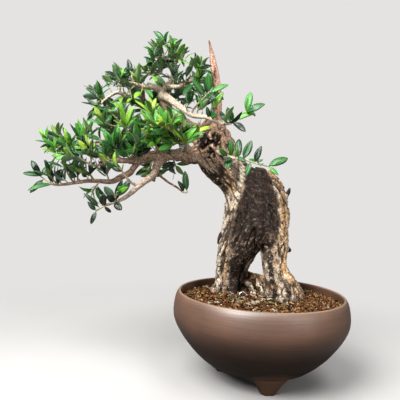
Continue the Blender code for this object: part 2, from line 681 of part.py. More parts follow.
def main_twig(owner, limb, at, tip, thicket, rng):
    """The twig of a spray, moved off its limb and bent until it is clear of the rest."""
    sides, points = GROWTHS[limb]
    foot_at, radius, _ = along_path(points, at)
    aim = Vector(tip) - foot_at
    for bow in (0.1, -0.06, 0.2, 0.28, -0.15):
        for lift in (0.6, 1.1, 1.8, 2.8, 4.0):
            direction = aim.normalized()
            start = foot_at + (direction + Vector((0, 0, bow * 1.5))).normalized() * (radius + lift)
            end = Vector(tip) - direction * min(13.0, 0.45 * aim.length)
            path = bowed(start, end, bow * (end - start).length, TWIG, TWIG_STEPS)
            if not thicket.hits(owner, tube(thicker(path, 0.35), TWIG_SIDES)):
                return path
    return None


def side_twig(owner, parent, at, around, thicket, rng):
    """A short twig that forks off a main one."""
    root, _, ahead = along_path(parent, at)
    across = ahead.orthogonal().normalized()
    for attempt in range(8):
        a = around + rng.uniform(-0.6, 0.6)
        out = across * math.cos(a) + ahead.cross(across) * math.sin(a)
        direction = (ahead * 0.75 + out + Vector((0, 0, 0.3))).normalized()
        end = root + direction * rng.uniform(8.0, 12.0)
        path = bowed(root, end, 0.8, SIDE_TWIG, 1)
        far = tube(thicker(path, 0.35, 0.4), TWIG_SIDES)
        if not thicket.hits(owner, tube(thicker(path, 0.3, 0.1), TWIG_SIDES), far):
            return path
    return None


def place_leaf(owner, root, tip, face, thicket):
    """The leaf if it is clear of all the others, or None."""
    width = LEAF_WIDTH * (tip - root).length
    far = leaf(root.lerp(tip, 0.32), tip, face, width + 0.6, LEAF_DEEP + 0.3)
    wide = leaf(root.lerp(tip, 0.06), tip, face, width + 1.0, LEAF_DEEP + 0.4)
    if thicket.hits(owner, wide, far):
        return None
    shape = leaf(root, tip, face, width)
    thicket.add(owner, shape)
    return shape


def leaf_face(root, ahead, rng):
    """The way a leaf's upper side turns: outwards from the crown, up, and up its twig."""
    outwards = (root - Vector(CROWN_MIDDLE)).normalized()
    stray = Vector([rng.uniform(-0.4, 0.4) for _ in range(3)])
    return outwards * 0.7 + ahead * 0.35 + Vector((0, 0, 0.35)) + stray


def leaf_pairs(owner, path, first, thicket, rng):
    """Opposite pairs up a twig, each turned a quarter from the last, and one at its end."""
    made = []
    length = sum((Vector(b[:3]) - Vector(a[:3])).length for a, b in zip(path, path[1:]))
    count = max(1, round(length * (1 - first) / LEAF_SPACING))
    turn = rng.choice((0, math.pi / 2))
    frames = path_frames(path)
    for n in range(count + 1):
        share = first + (1 - first) * n / count
        at = min(share, 0.96) * (len(path) - 1)
        root, _, _ = along_path(path, at)
        ahead, across = frames[round(at)]
        up = ahead.cross(across)
        opening = math.radians(66 - 30 * share)
        for side in (0, math.pi):
            for attempt in range(9):
                a = turn + side + rng.uniform(-0.12, 0.12) * attempt
                out = across * math.cos(a) + up * math.sin(a)
                spread = opening + rng.uniform(-0.2, 0.2)
                direction = ahead * math.cos(spread) + out * math.sin(spread)
                direction = (direction + Vector((0, 0, 0.34))).normalized()
                size = rng.uniform(*LEAF_LENGTH) * (0.78 if n == count else 1.0)
                size *= 1 - 0.04 * attempt
                face = leaf_face(root, ahead, rng)
                foot_at = root - direction * ROOT_BEYOND
                shape = place_leaf(owner, foot_at, root + direction * size, face, thicket)
                if shape:
                    made.append(shape)
                    break
        turn += math.pi / 2
    return made


def open_leaves(owner, path, tips, thicket):
    """Leaves whose tips are given, each grown from the twig a little before its nearest point."""
    made = []
    for tip in tips:
        aim = Vector(tip)
        stations = [k / 40 * (len(path) - 1) for k in range(41)]
        near = min(stations, key=lambda s: (along_path(path, s)[0] - aim).length)
        length = (along_path(path, near)[0] - aim).length
        root, _, ahead = along_path(path, max(0.25, near - 0.1 * length / 9))
        if (aim - root).length > 23:
            aim = root + (aim - root).normalized() * 23
        face = Vector((0, -1, 0.35))
        away = (aim - root).normalized()
        shape = place_leaf(owner, root - away * ROOT_BEYOND, aim, face, thicket)
        if shape:
            made.append(shape)
    return made


def lay_out_sprays():
    """Each spray's name with its tubes and leaves, none of them crossing another."""
    rng = random.Random(SEED)
    thicket = Thicket()
    thicket.add("trunk", strand(LEFT_STRAND, TRUNK_SIDES))
    thicket.add("trunk", strand(RIGHT_STRAND, TRUNK_SIDES))
    thicket.add("trunk", strand(FRONT_PANEL, 10))
    thicket.add("trunk", ball(KNOT_AT, KNOT_RADII, 10, 6))
    for sides, path in GROWTHS.values():
        for a, b in zip(path, path[1:]):
            thicket.add("trunk", tube((a, b), sides))
    twigs = {}
    for n, (limb, path, tips) in enumerate(OPEN_SPRAYS):
        end, _, _ = along_path(GROWTHS[limb][1], len(GROWTHS[limb][1]) - 1)
        first = end + (Vector(path[0]) - end).normalized() * 1.4
        whole = [(*first, TWIG[0]), *((*p, TWIG[0] - 0.1 * (k + 1)) for k, p in enumerate(path))]
        name = f"spray_open_{limb}"
        twigs[name] = [whole]
        thicket.add(name, tube(whole, TWIG_SIDES))
    for n, (limb, at, tip, forks) in enumerate(SPRAYS):
        name = f"spray_{n + 1:02d}"
        path = main_twig(name, limb, at, tip, thicket, rng)
        if path:
            twigs[name] = [path]
            thicket.add(name, tube(path, TWIG_SIDES))
    for n, (limb, at, tip, forks) in enumerate(SPRAYS):
        name = f"spray_{n + 1:02d}"
        if name not in twigs:
            continue
        turn = rng.uniform(0, math.tau)
        for k in range(forks):
            path = side_twig(name, twigs[name][0], 0.9 + 0.5 * k, turn + 2.4 * k, thicket, rng)
            if path:
                twigs[name].append(path)
                thicket.add(name, tube(path, TWIG_SIDES))
    leaves = {name: [] for name in twigs}
    for limb, _, tips in OPEN_SPRAYS:
        name = f"spray_open_{limb}"
        leaves[name] = open_leaves(name, twigs[name][0], tips, thicket)
    for name, paths in twigs.items():
        if name.startswith("spray_open"):
            continue
        for path in paths:
            first = 0.3 if path is paths[0] else 0.55
            leaves[name] += leaf_pairs(name, path, first, thicket, rng)
    return twigs, leaves


def make_sprays():
    twigs, leaves = lay_out_sprays()
    for name, paths in twigs.items():
        spray = build(name, tube(paths[0], TWIG_SIDES), "olive_leaf")
        shapes = [tube(path, TWIG_SIDES) for path in paths[1:]] + leaves[name]
        others = [build(f"{name}_{k}", shape, "olive_leaf") for k, shape in enumerate(shapes)]
        combine(spray, others, "UNION")


def main():
    clear_scene()
    make_pot()
    make_screen()
    make_soil()
    make_wire()
    make_trunk()
    make_sprays()
    bonsai = bpy.data.objects.new("bonsai", None)
    bpy.context.scene.collection.objects.link(bonsai)
    for obj in bpy.data.objects:
        if obj.type == "MESH":
            obj.parent = bonsai
    bonsai.location = (SHIFT_X * MM, SHIFT_Y * MM, 0.0)


main()
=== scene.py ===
"""Looks of an olive bonsai in a round stoneware pot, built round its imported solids.

Sizes are in millimetres from the pot's axis and the surface that it stands on, as in the
part's source, and every mesh is moved to the row frame's metres when it is finished.
"""

import itertools
import logging
import math
import random
from collections.abc import Callable, Sequence
from dataclasses import dataclass, field
from enum import Enum

import bmesh
import bpy
import numpy as np
from mathutils import Matrix, Vector
from mathutils.bvhtree import BVHTree


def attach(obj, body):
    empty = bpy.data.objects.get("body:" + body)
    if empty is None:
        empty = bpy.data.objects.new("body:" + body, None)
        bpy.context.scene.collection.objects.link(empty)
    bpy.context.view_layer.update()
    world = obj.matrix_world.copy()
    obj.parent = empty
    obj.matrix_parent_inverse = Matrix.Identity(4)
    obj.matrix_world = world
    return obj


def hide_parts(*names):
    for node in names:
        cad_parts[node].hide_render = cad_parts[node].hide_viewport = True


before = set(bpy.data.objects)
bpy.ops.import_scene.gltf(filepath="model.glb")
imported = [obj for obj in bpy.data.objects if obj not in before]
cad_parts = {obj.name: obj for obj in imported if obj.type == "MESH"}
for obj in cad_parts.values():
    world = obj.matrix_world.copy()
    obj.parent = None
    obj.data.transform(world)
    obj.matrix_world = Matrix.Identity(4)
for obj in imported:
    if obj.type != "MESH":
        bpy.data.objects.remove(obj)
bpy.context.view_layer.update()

logging.basicConfig(level=logging.INFO, format="%(message)s")
log = logging.getLogger("bonsai")

MM = 0.001
# How far the pot's axis stands from the row frame's origin.
SHIFT_X = 90.5
SEED = 41

Row = tuple[float, ...]
Path = Sequence[Row]
Shape = tuple[list, list]
Stops = tuple[tuple[float, str], ...]
Settings = dict[str | int, object]

# Trunk strands: rings of (x, y, z, half width seen from the front, half depth).
LEFT_STRAND = (
    (-31, 38, 64, 18, 14.5), (-31, 37.5, 84, 18.5, 15), (-31, 36, 95, 17.5, 14),
    (-31.5, 33, 107, 18, 15), (-31, 29, 118, 18.5, 16), (-30, 25, 128, 19.2, 17),
    (-28, 20, 138, 20.5, 18), (-25, 15, 150, 23, 19), (-20, 11, 165, 25.5, 21), (-17, 9, 180, 27, 22),
    (-16, 8, 195, 28, 23), (-18, 8, 209, 28, 23), (-26.5, 7, 220, 24, 21.5),
    (-37.5, 6, 230, 19.8, 19.5), (-50, 5, 241.5, 21, 18.5), (-58.5, 4, 255, 23, 17.5),
    (-61.5, 4, 268.5, 22.2, 17), (-62, 4, 278, 18.5, 15.5), (-61.5, 5, 287, 14, 12.5),
    (-60.5, 6, 296, 8.8, 8.6), (-58.5, 7, 306, 5.8, 5.6), (-58, 8, 319, 4.9, 4.6),
    (-59.5, 8, 334, 4.8, 4.2), (-62, 8, 348, 4.6, 3.9), (-65, 8, 363, 3.6, 3), (-67.5, 8, 375, 2.3, 2),
    (-71, 8, 388.5, 0.7, 0.7),
)
RIGHT_STRAND = (
    (26, -2, 64, 20, 16), (26, -2, 84, 20.5, 16.5), (25.5, -2, 96, 19.5, 15),
    (22, -1.5, 107, 17.5, 13.5), (18, 0, 118, 14.8, 12.5), (15.5, 1, 129, 13.2, 12),
    (14.5, 3, 141, 13.6, 12.5), (13.5, 5, 153, 16, 14.5), (10.5, 7, 166, 19, 17), (9, 8, 180, 20.5, 18),
    (8, 8, 194, 20, 18), (5, 8, 207, 19.5, 18), (1, 8, 218, 18.5, 17), (-6, 7.5, 228, 13.5, 14),
    (-16, 7, 233.5, 8.5, 9),
)
FRONT_PANEL = (
    (-3, 3, 152, 9, 10), (-3, 4, 164, 13, 17), (-3.5, 4, 180, 15, 20), (-4.5, 4, 196, 16, 20.5),
    (-7, 4.5, 210, 16, 20), (-12, 5, 222, 14, 17), (-20, 6, 232, 8, 11),
)
# Ridges round a strand: how many, how high as a share of its width, and their turn a ring.
RIDGES = ((3, 0.035, 0.35), (5, 0.045, -0.25), (7, 0.03, 0.2))
TRUNK_SIDES = 11
PANEL_SIDES = 10
KNOT_AT = (-66.0, -4.0, 263.0)
KNOT_RADII = (13.5, 12.0, 13.0)
HOLLOW_AT = (-66.5, -15.5, 263.0)
HOLLOW_RADII = (7.0, 7.0, 7.5)

# Roots, stubs and limbs: sides, then points of (x, y, z, radius) from where each grows.
GROWTHS = {
    "right_root": (6, ((19, 3, 132, 5.5), (27, 8, 120, 5.2), (35, 12, 112, 5), (42, 15, 104, 4.8),
        (48, 18, 96, 4.4), (53, 21, 82, 3.8))),
    "front_root": (5, ((24, -8, 112, 6), (24, -17, 101, 5.5), (24, -24, 92, 5), (25, -29, 82, 4))),
    "right_heel": (5, ((32, -2, 108, 6), (41, -4, 97, 5), (47, -6, 84, 4))),
    "left_root": (5, ((-40, 30, 112, 6), (-49, 25, 99, 4.5), (-55, 22, 84, 3.6))),
    "left_toe": (5, ((-29, 22, 112, 6), (-30, 16, 99, 5), (-31, 10, 84, 4))),
    "arch_root": (5, ((-20, 30, 112, 5), (-8, 27, 111, 4), (3, 22, 109, 3.6), (12, 14, 100, 4),
        (16, 6, 90, 5))),
    "cream_root": (4, ((-18, 26, 106, 4), (-10, 17, 101, 3.2), (-7, 10, 94, 2.8), (-6, 5, 82, 2.4))),
    "knuckle_root": (4, ((2, 23, 110, 4), (1, 16, 101, 3.2), (3, 9, 93, 3), (4, 4, 82, 2.6))),
    "flake": (4, ((-42, 12, 168, 3.4), (-49, 10, 159, 2.2), (-51, 10, 150, 0.8))),
    "nub": (4, ((24, 4, 148, 4), (31, 4, 147, 3.6), (33, 4, 145, 2))),
    "stub": (4, ((22, 6, 207, 4), (28, 5, 213, 2.4), (30, 4, 219, 1))),
    "low": (6, ((-55, 4, 256, 12), (-70, 3, 256, 10.5), (-88, 0, 251, 9), (-99, -3, 252, 6.4),
        (-110, -6, 250, 5.1), (-121, -8, 247, 4.8), (-132, -14, 246, 3.9), (-154, -24, 241, 3),
        (-169, -30, 240, 2.3), (-180, -34, 235, 1.6), (-191, -37, 233, 1.1))),
    "left": (4, ((-133, -14, 245.5, 3.2), (-144, -18, 240, 3.2), (-149, -18, 234, 3.2),
        (-154, -15, 228, 3.2), (-165, -11, 223, 3), (-175, -8, 218, 2.7), (-189, -5, 218, 2.3),
        (-202, -2, 218, 2.1), (-220, 2, 215, 1.7), (-239, 5, 212, 1.3), (-250, 7, 213, 1))),
    "under": (4, ((-120, -8, 247, 4), (-124, -14, 237, 3.6), (-125, -20, 230, 3.3),
        (-129, -24, 224, 2.9), (-137, -29, 217, 2.5), (-143, -32, 211, 2.2), (-151, -36, 203, 1.9),
        (-160, -39, 197, 1.5), (-172, -43, 192, 1.1))),
    "fork": (4, ((-140, -30, 213, 1.8), (-147, -36, 216, 1.4), (-153, -42, 222, 1.1))),
    "hanging": (4, ((-125, -18, 231, 1.6), (-111, -22, 220, 1.2), (-100, -24, 214, 1.1),
        (-94, -25, 209.5, 1))),
    "upper": (6, ((-60, 6, 272, 12), (-75, 12, 279, 9.4), (-92, 15, 288, 7.7), (-106, 16, 298, 6.6),
        (-116, 15, 307, 5.5), (-123, 12, 319, 4.4), (-125, 8, 328, 3.8))),
    "crossing": (4, ((-123, 9, 322, 3.6), (-114, 0, 316, 3), (-105, -7, 309, 2.7), (-93, -16, 299, 2.2),
        (-85, -20, 294, 1.9), (-71, -26, 292, 1.7), (-62, -28, 288, 1.5), (-50, -28, 284, 1.2))),
    "top": (4, ((-124, 8, 326, 3.6), (-119, 9, 333, 3.1), (-114, 10, 340, 2.6), (-111, 11, 352, 2.1),
        (-110, 11, 359, 1.8), (-115, 10, 365, 1.5), (-124, 9, 368, 1.1))),
    "shelf": (4, ((-124, 8, 327, 3.4), (-134, 4, 330, 2.9), (-144, 0, 329, 2.5), (-151, -3, 330, 2),
        (-159, -7, 331, 1.5), (-167, -10, 331, 1.1))),
    "rear": (4, ((-98, 15, 292, 5.5), (-112, 20, 298, 4.8), (-127, 26, 301, 4.1), (-139, 28, 307, 3.7),
        (-149, 28, 315, 3.3), (-160, 25, 319, 2.9), (-168, 23, 323, 2.5), (-178, 20, 326, 2.2),
        (-185, 18, 322, 1.8), (-192, 16, 316, 1.3), (-196, 15, 311, 1))),
    "rear_shoot": (4, ((-177, 20, 325, 1.6), (-175, 19, 330, 1.2), (-175, 18, 335, 1))),
    "mid": (4, ((-115, -7, 249, 2.8), (-123, -15, 257, 2.5), (-128, -22, 270, 2),
        (-128, -26, 281, 1.3))),
    "cross_shoot": (4, ((-88, -18, 295.5, 1.5), (-85, -21, 301, 1.2), (-79, -24, 308, 1))),
    "right_top": (4, ((-119, 9, 333, 2.2), (-105, 2, 331, 1.7), (-91, -4, 336, 1.4),
        (-84, -8, 343, 1.1))),
    "right_low": (4, ((-58, -4, 256, 2.4), (-55, -16, 255, 1.9), (-46, -26, 250, 1.5),
        (-38, -32, 247.5, 1.2))),
    "back_low": (4, ((-99, -1, 253, 4), (-112, 14, 257, 3.4), (-130, 32, 258, 2.6), (-150, 43, 253, 2),
        (-172, 49, 248, 1.3))),
    "back_high": (4, ((-66, 10, 268, 6), (-79, 28, 272, 3.6), (-93, 43, 277, 2.6),
        (-107, 53, 283, 1.6))),
    "back_top": (4, ((-116, 14, 307, 4), (-115, 30, 318, 2.4), (-119, 43, 329, 1.4))),
    "front_mid": (4, ((-88, 0, 252, 4.5), (-93, -18, 263, 2.9), (-101, -33, 271, 2.2),
        (-107, -44, 279, 1.4))),
    "rise": (4, ((-133, -14, 246, 3.2), (-147, -8, 256, 2.7), (-166, -2, 263, 2.2), (-186, 0, 265, 1.8),
        (-206, 0, 260, 1.4), (-224, 2, 257, 1.1))),
    "rise_back": (4, ((-148, -8, 256.5, 2.2), (-158, 6, 267, 1.8), (-171, 13, 275, 1.4),
        (-182, 15, 282, 1.1))),
    "rise_front": (4, ((-150, -7, 257.5, 2.2), (-156, -17, 269, 1.7), (-160, -21, 280, 1.2))),
}

# Leafy sprays: the limb, how far along its points, the outermost leaf tip, side twigs.
SPRAYS = (
    ("top", 5.5, (-142, -4, 361), 1), ("top", 4.1, (-92, -20, 356), 1),
    ("top", 3.4, (-124, 40, 366), 2), ("top", 2.3, (-154, -12, 343), 2),
    ("right_top", 3, (-80, -12, 347), 1), ("right_top", 2.2, (-72, -18, 326), 1),
    ("crossing", 4.2, (-75, -24, 313), 1), ("right_top", 1.4, (-93, -26, 322), 1),
    ("shelf", 5, (-184, -16, 326), 0), ("shelf", 3.2, (-171, -14, 303), 1),
    ("shelf", 2, (-143, -32, 311), 1), ("back_top", 2, (-126, 64, 344), 2),
    ("back_top", 1.2, (-92, 52, 340), 1), ("rear_shoot", 2, (-173, 14, 341), 1),
    ("rear", 10, (-201, 12, 301), 1), ("rear", 8.6, (-195, 22, 316), 1),
    ("rear", 4.8, (-166, 52, 332), 2), ("rear", 3.5, (-149, 8, 296), 1),
    ("mid", 3, (-132, -34, 305), 1), ("mid", 1.4, (-117, -42, 293), 1),
    ("mid", 0.8, (-132, -44, 272), 1), ("front_mid", 3, (-96, -62, 298), 1),
    ("front_mid", 2.3, (-122, -62, 278), 1), ("front_mid", 1.6, (-84, -46, 284), 1),
    ("front_mid", 1, (-112, -48, 255), 1), ("rise_front", 2, (-166, -30, 301), 1),
    ("rise", 1, (-143, -16, 292), 2), ("rise", 2.4, (-183, -26, 289), 1),
    ("rise_back", 3, (-192, 18, 297), 1), ("rise", 3.9, (-212, 4, 281), 1),
    ("rise", 4.5, (-232, -20, 258), 1), ("rise", 5, (-262, 8, 259), 1),
    ("rise", 4.8, (-250, -12, 252), 0), ("low", 10, (-228, -34, 246), 1),
    ("low", 8.8, (-202, -46, 256), 1), ("low", 7.6, (-170, -52, 264), 1),
    ("low", 6.6, (-146, -50, 254), 1), ("low", 5.4, (-136, -26, 227), 1),
    ("low", 3.9, (-101, 16, 233), 1), ("back_low", 4, (-202, 54, 258), 2),
    ("back_low", 3, (-152, 68, 276), 2), ("back_high", 3, (-130, 70, 300), 2),
    ("left", 7.8, (-222, 20, 238), 1), ("left", 6.6, (-206, -24, 236), 1),
    ("left", 5.2, (-186, -12, 238), 1), ("left", 6, (-200, -14, 196), 0),
    ("under", 7.4, (-156, -56, 216), 1), ("fork", 2, (-168, -56, 240), 1),
)
# Sprays that stand apart, by their limbs: the twig and the leaf tips.
OPEN_SPRAYS = {
    "top": (((-119, 9, 377), (-121, 8, 384)),
        ((-136.5, 8, 397), (-107, 7, 388), (-104, 4, 377), (-133, -2, 384), (-117, -8, 391),
         (-124, 22, 386), (-139, 12, 377))),
    "crossing": (((-43, -27, 286), (-34, -25, 294), (-26, -24, 301)),
        ((-22, -24, 323), (-5, -29, 309), (-18, -47, 297), (-28, -36, 276), (-49, -34, 302),
         (-56, -22, 300), (-15, -10, 299))),
    "cross_shoot": (((-72, -27, 315), (-68, -28, 319)),
        ((-48, -31, 327), (-71, -34, 338), (-52, -20, 313), (-88, -34, 330), (-62, -42, 308))),
    "right_low": (((-28, -37, 246), (-19, -39, 243), (-11, -40, 241), (-1, -41, 239)),
        ((22, -42, 251), (-11, -40, 261), (-21, -36, 267), (-34, -28, 270), (-42, -30, 270),
         (7, -46, 230), (-26, -42, 228), (-9, -20, 248), (-14, -58, 238))),
    "left": (((-257, 8, 218), (-263, 9, 222)),
        ((-275, 11, 240), (-281, 3, 224), (-275, 4, 198), (-253, 18, 236), (-262, -8, 234))),
    "hanging": (((-90, -25, 208.5), (-88, -25, 210)),
        ((-92, -27, 234), (-99, -30, 221))),
    "under": (((-179, -44, 188), (-183, -45, 185)),
        ((-187, -46, 171), (-191, -49, 195), (-173, -56, 203), (-168, -38, 184))),
}
# Single leaves on the thin shoots, by their limbs: root, tip, width and how young.
LONE_LEAVES = {
    "right_low": (
        ((-42, -29, 248.7), (-43, -33, 267), 7.5, 0.85), ((-29, -36, 246.3), (-21, -22, 262), 6, 0.5),
        ((-37, -32.5, 247.3), (-26, -40, 244), 6.5, 0.1),
        ((-44, -27.5, 249.2), (-47, -38, 235), 8, 0.45), ((-46, -26, 250), (-56, -36, 257), 6, 0.05),
        ((-40, -30.5, 248.1), (-50, -36, 243), 5, 0.35), ((-38, -31, 248), (-36, -38, 259), 4, 0.8),
        ((-26, -37.5, 245.3), (-13, -32, 245), 4, 0.5),
    ),
    "crossing": (
        ((-40, -26.5, 288.5), (-18, -32, 297), 8, 0.5), ((-46, -27.5, 285), (-55, -38, 290), 8, 0.4),
        ((-67, -27, 290.2), (-71, -33, 302), 6, 0.55), ((-67, -27, 290.2), (-59, -36, 294), 6, 0.45),
        ((-66, -27, 290.4), (-64, -25, 305), 6, 0.3), ((-43, -27, 286), (-49, -26, 302), 6, 0.1),
    ),
    "cross_shoot": (
        ((-71, -27, 316), (-75, -33, 334), 8, 0.3), ((-69, -27.5, 318), (-70, -22, 343), 8.5, 0.45),
        ((-74, -26, 313), (-64, -30, 307), 7, 0.2),
    ),
    "left": (
        ((-246, 6, 212.5), (-271, -6, 204), 8, 0.5), ((-245, 4, 213), (-253, 8, 233), 8.5, 0.35),
        ((-241, 5, 212.3), (-237, -2, 230), 6, 0.6), ((-240, 5, 212.2), (-235, 6, 228), 6, 0.6),
    ),
    "under": (
        ((-163, -40, 196), (-156, -46, 220), 8, 0.1), ((-165, -41, 195), (-170, -50, 204), 7, 0.3),
        ((-164, -41, 195.5), (-155, -48, 187), 7.5, 0), ((-176, -44, 190.5), (-174, -48, 204), 8, 0.05),
        ((-179, -44, 188.5), (-196, -46, 203), 6.5, 0.5),
    ),
}
# A bare limb that rises behind the crown, in the scene alone. It is dark towards its foot,
# partly as painted shade.
RISER = ((-140, 27, 307, 4), (-147, 17, 319, 3.5), (-146, 4, 328.5, 2.8))
# How much stouter these limbs grow here than the part's.
LIMB_GIRTH = {"crossing": 1.4, "shelf": 1.15, "right_top": 1.35, "under": 1.3, "top": 1.15,
              "right_low": 1.3, "left": 1.1}
CAMERA_EYE = (-74.0, -493.0, 201.0)
# The part's outermost corners, a hair inside, in the tree's millimetres.
BOX_LOW = (-280.95, -99.95, 0.0)
BOX_HIGH = (99.95, 99.95, 396.95)
CROWN_MIDDLE = (-135.0, 0.0, 262.0)
TWIG = (1.05, 0.75)
SIDE_TWIG = (0.85, 0.65)
TWIG_SIDES = 4
TWIG_STEPS = 2
LEAF_SPACING = 8.8
LEAF_LENGTH = (18.0, 24.0)
LEAF_WIDTH = 0.4
LEAF_DEEP = 1.0


def linear(hex_colour: str) -> np.ndarray:
    """Turns an sRGB hex colour into linear red, green and blue.

    Args:
        hex_colour: six hex digits, with or without a leading #.

    Returns:
        An array of three linear values.
    """
    digits = hex_colour.lstrip("#")
    coded = np.array([int(digits[k : k + 2], 16) / 255 for k in (0, 2, 4)])
    return np.where(coded <= 0.04045, coded / 12.92, ((coded + 0.055) / 1.055) ** 2.4)


def rgba(hex_colour: str) -> tuple[float, ...]:
    """Returns the linear colour with full alpha, as a socket takes it."""
    return (*linear(hex_colour), 1.0)


def smoothstep(low: float, high: float, value: np.ndarray) -> np.ndarray:
    """Rises from 0 at low to 1 at high with flat ends."""
    t = np.clip((value - low) / (high - low), 0, 1)
    return t * t * (3 - 2 * t)


def lattice(cells: np.ndarray, seed: int) -> np.ndarray:
    """Returns a repeatable random number from 0 to 1 for each whole-number cell.

    Args:
        cells: whole-number cells, one to a row.
        seed: picks the pattern.

    Returns:
        One number for each cell.
    """
    x, y, z = ((cells[:, k] + 9000).astype(np.uint64) for k in range(3))
    mixed = x * np.uint64(73856093) ^ y * np.uint64(19349663) ^ z * np.uint64(83492791)
    mixed ^= np.uint64(seed * 2654435761 % 2**32)
    mixed = (mixed ^ (mixed >> np.uint64(15))) * np.uint64(2246822519)
    mixed = (mixed ^ (mixed >> np.uint64(13))) * np.uint64(3266489917)
    return ((mixed >> np.uint64(7)) & np.uint64(0xFFFF)).astype(float) / 0xFFFF


def noise(places: np.ndarray, seed: int, octaves: int = 1) -> np.ndarray:
    """Smooth random values from 0 to 1, with finer ones of half the height added.

    Args:
        places: points, one to a row, in units of the coarsest cell.
        seed: which pattern.
        octaves: how many sizes are added up.

    Returns:
        One value for each point.
    """
    total, height, weight = np.zeros(len(places)), 1.0, 0.0
    for octave in range(octaves):
        scaled = places * 2**octave
        base = np.floor(scaled)
        part = scaled - base
        part = part * part * (3 - 2 * part)
        for corner in itertools.product((0, 1), repeat=3):
            share = np.prod(np.where(corner, part, 1 - part), axis=1)
            total += height * share * lattice(base + corner, seed + 31 * octave)
        weight += height
        height *= 0.5
    return total / weight


def ridged(places: np.ndarray, seed: int, octaves: int = 1) -> np.ndarray:
    """Noise folded into crests: 1 on the crest lines and 0 far from them."""
    return 1 - np.abs(2 * noise(places, seed, octaves) - 1)


def feed(node: bpy.types.Node, settings: Settings) -> None:
    """Sets a node's attributes and inputs.

    Args:
        node: the node.
        settings: by an attribute's name, or an input's name or number: a value, a hex colour, or
            the socket that feeds it. A pattern's "size_mm" is its real size, and a ramp's
            "stops" are its positions with their hex colours.
    """
    for key, value in settings.items():
        if key == "stops":
            elements = node.color_ramp.elements
            while len(elements) < len(value):
                elements.new(0.5)
            for element, (position, colour) in zip(elements, value):
                element.position, element.color = position, rgba(colour)
        elif key == "size_mm":
            node.inputs["Scale"].default_value = 1 / (value * MM)
        elif isinstance(key, str) and hasattr(node, key):
            setattr(node, key, value)
        elif isinstance(value, bpy.types.NodeSocket):
            node.id_data.links.new(value, node.inputs[key])
        else:
            node.inputs[key].default_value = rgba(value) if isinstance(value, str) else value


def add_node(
    tree: bpy.types.NodeTree, kind: str, settings: Settings, out: int | str = 0
) -> bpy.types.NodeSocket:
    """Adds one shader node.

    Args:
        tree: the node tree.
        kind: the node's type without its prefix, such as "TexNoise".
        settings: what feed() takes.
        out: the name or number of the output that is wanted.

    Returns:
        That output.
    """
    node = tree.nodes.new("ShaderNode" + kind)
    feed(node, settings)
    return node.outputs[out]


def link_object(name: str, data: bpy.types.ID) -> bpy.types.Object:
    """Puts a mesh, a lamp or a camera into the scene as an object.

    Args:
        name: the object's name.
        data: the mesh, lamp or camera.

    Returns:
        The object.
    """
    made = bpy.data.objects.new(name, data)
    bpy.context.scene.collection.objects.link(made)
    return made


def finished(
    name: str, mesh: bpy.types.Mesh, finish: bpy.types.Material | None, smooth: bool = True
) -> bpy.types.Object:
    """Makes a piece of a mesh in metres, at the origin with its place in its mesh.

    Args:
        name: the piece's name.
        mesh: its mesh.
        finish: its one material, or None for a helper that isn't kept.
        smooth: whether its faces are shaded smooth.

    Returns:
        The object.
    """
    mesh.name = name
    mesh.materials.clear()
    if finish:
        mesh.materials.append(finish)
    if smooth:
        mesh.shade_smooth()
    return link_object(name, mesh)


def to_object(
    name: str, work: bmesh.types.BMesh, finish: bpy.types.Material | None = None
) -> bpy.types.Object:
    """Makes a piece of a bmesh in the pot's millimetres and frees the bmesh.

    Args:
        name: the object's name.
        work: the bmesh, which is used up.
        finish: the material, if it has one.

    Returns:
        The object.
    """
    bmesh.ops.translate(work, vec=(SHIFT_X, 0, 0), verts=work.verts)
    bmesh.ops.scale(work, vec=(MM, MM, MM), verts=work.verts)
    mesh = bpy.data.meshes.new(name)
    work.to_mesh(mesh)
    work.free()
    return finished(name, mesh, finish)


def evaluated(obj: bpy.types.Object) -> bpy.types.Mesh:
    """Applies an object's modifiers, removes the object and returns the mesh that it made.

    Args:
        obj: the object, which is used up.

    Returns:
        The mesh.
    """
    graph = bpy.context.evaluated_depsgraph_get()
    mesh = bpy.data.meshes.new_from_object(obj.evaluated_get(graph))
    bpy.data.objects.remove(obj, do_unlink=True)
    return mesh


def skin(
    work: bmesh.types.BMesh, rings: int, sides: int, place: Callable[[float, float], Vector]
) -> int:
    """Adds a closed tube: a grid that is rolled up, sewn along its seam and filled at its ends.

    Args:
        work: the bmesh that it is added to.
        rings: how many rings the tube has.
        sides: how many faces go round it.
        place: gives a point from the turn, 0 to 1, and the way along, 0 to 1.

    Returns:
        How many vertices the tube has.
    """
    tube = bmesh.new()
    bmesh.ops.create_grid(tube, x_segments=sides, y_segments=rings - 1, size=0.5)
    for vert in tube.verts:
        vert.co = place((vert.co.x + 0.5) % 1.0, vert.co.y + 0.5)
    bmesh.ops.remove_doubles(tube, verts=tube.verts, dist=1e-4)
    bmesh.ops.holes_fill(tube, edges=[e for e in tube.edges if e.is_boundary], sides=0)
    bmesh.ops.recalc_face_normals(tube, faces=tube.faces)
    before = len(work.verts)
    mesh = bpy.data.meshes.new("tube")
    tube.to_mesh(mesh)
    tube.free()
    work.from_mesh(mesh)
    bpy.data.meshes.remove(mesh)
    return len(work.verts) - before


def spline(rows: Path, at: float) -> np.ndarray:
    """A smooth curve through the rows, read at a position counted in rows.

    Args:
        rows: rows of numbers to pass through.
        at: the position, where 1.5 is halfway from the second row to the third.

    Returns:
        The row of numbers there.
    """
    table = np.array(rows)
    i = int(np.clip(math.floor(at), 0, len(table) - 2))
    t = at - i
    a, b, c, d = (table[np.clip(i + k, 0, len(table) - 1)] for k in (-1, 0, 1, 2))
    slope_b, slope_c = (c - a) / 2, (d - b) / 2
    return (
        b * (2 * t**3 - 3 * t**2 + 1)
        + slope_b * (t**3 - 2 * t**2 + t)
        + c * (3 * t**2 - 2 * t**3)
        + slope_c * (t**3 - t**2)
    )


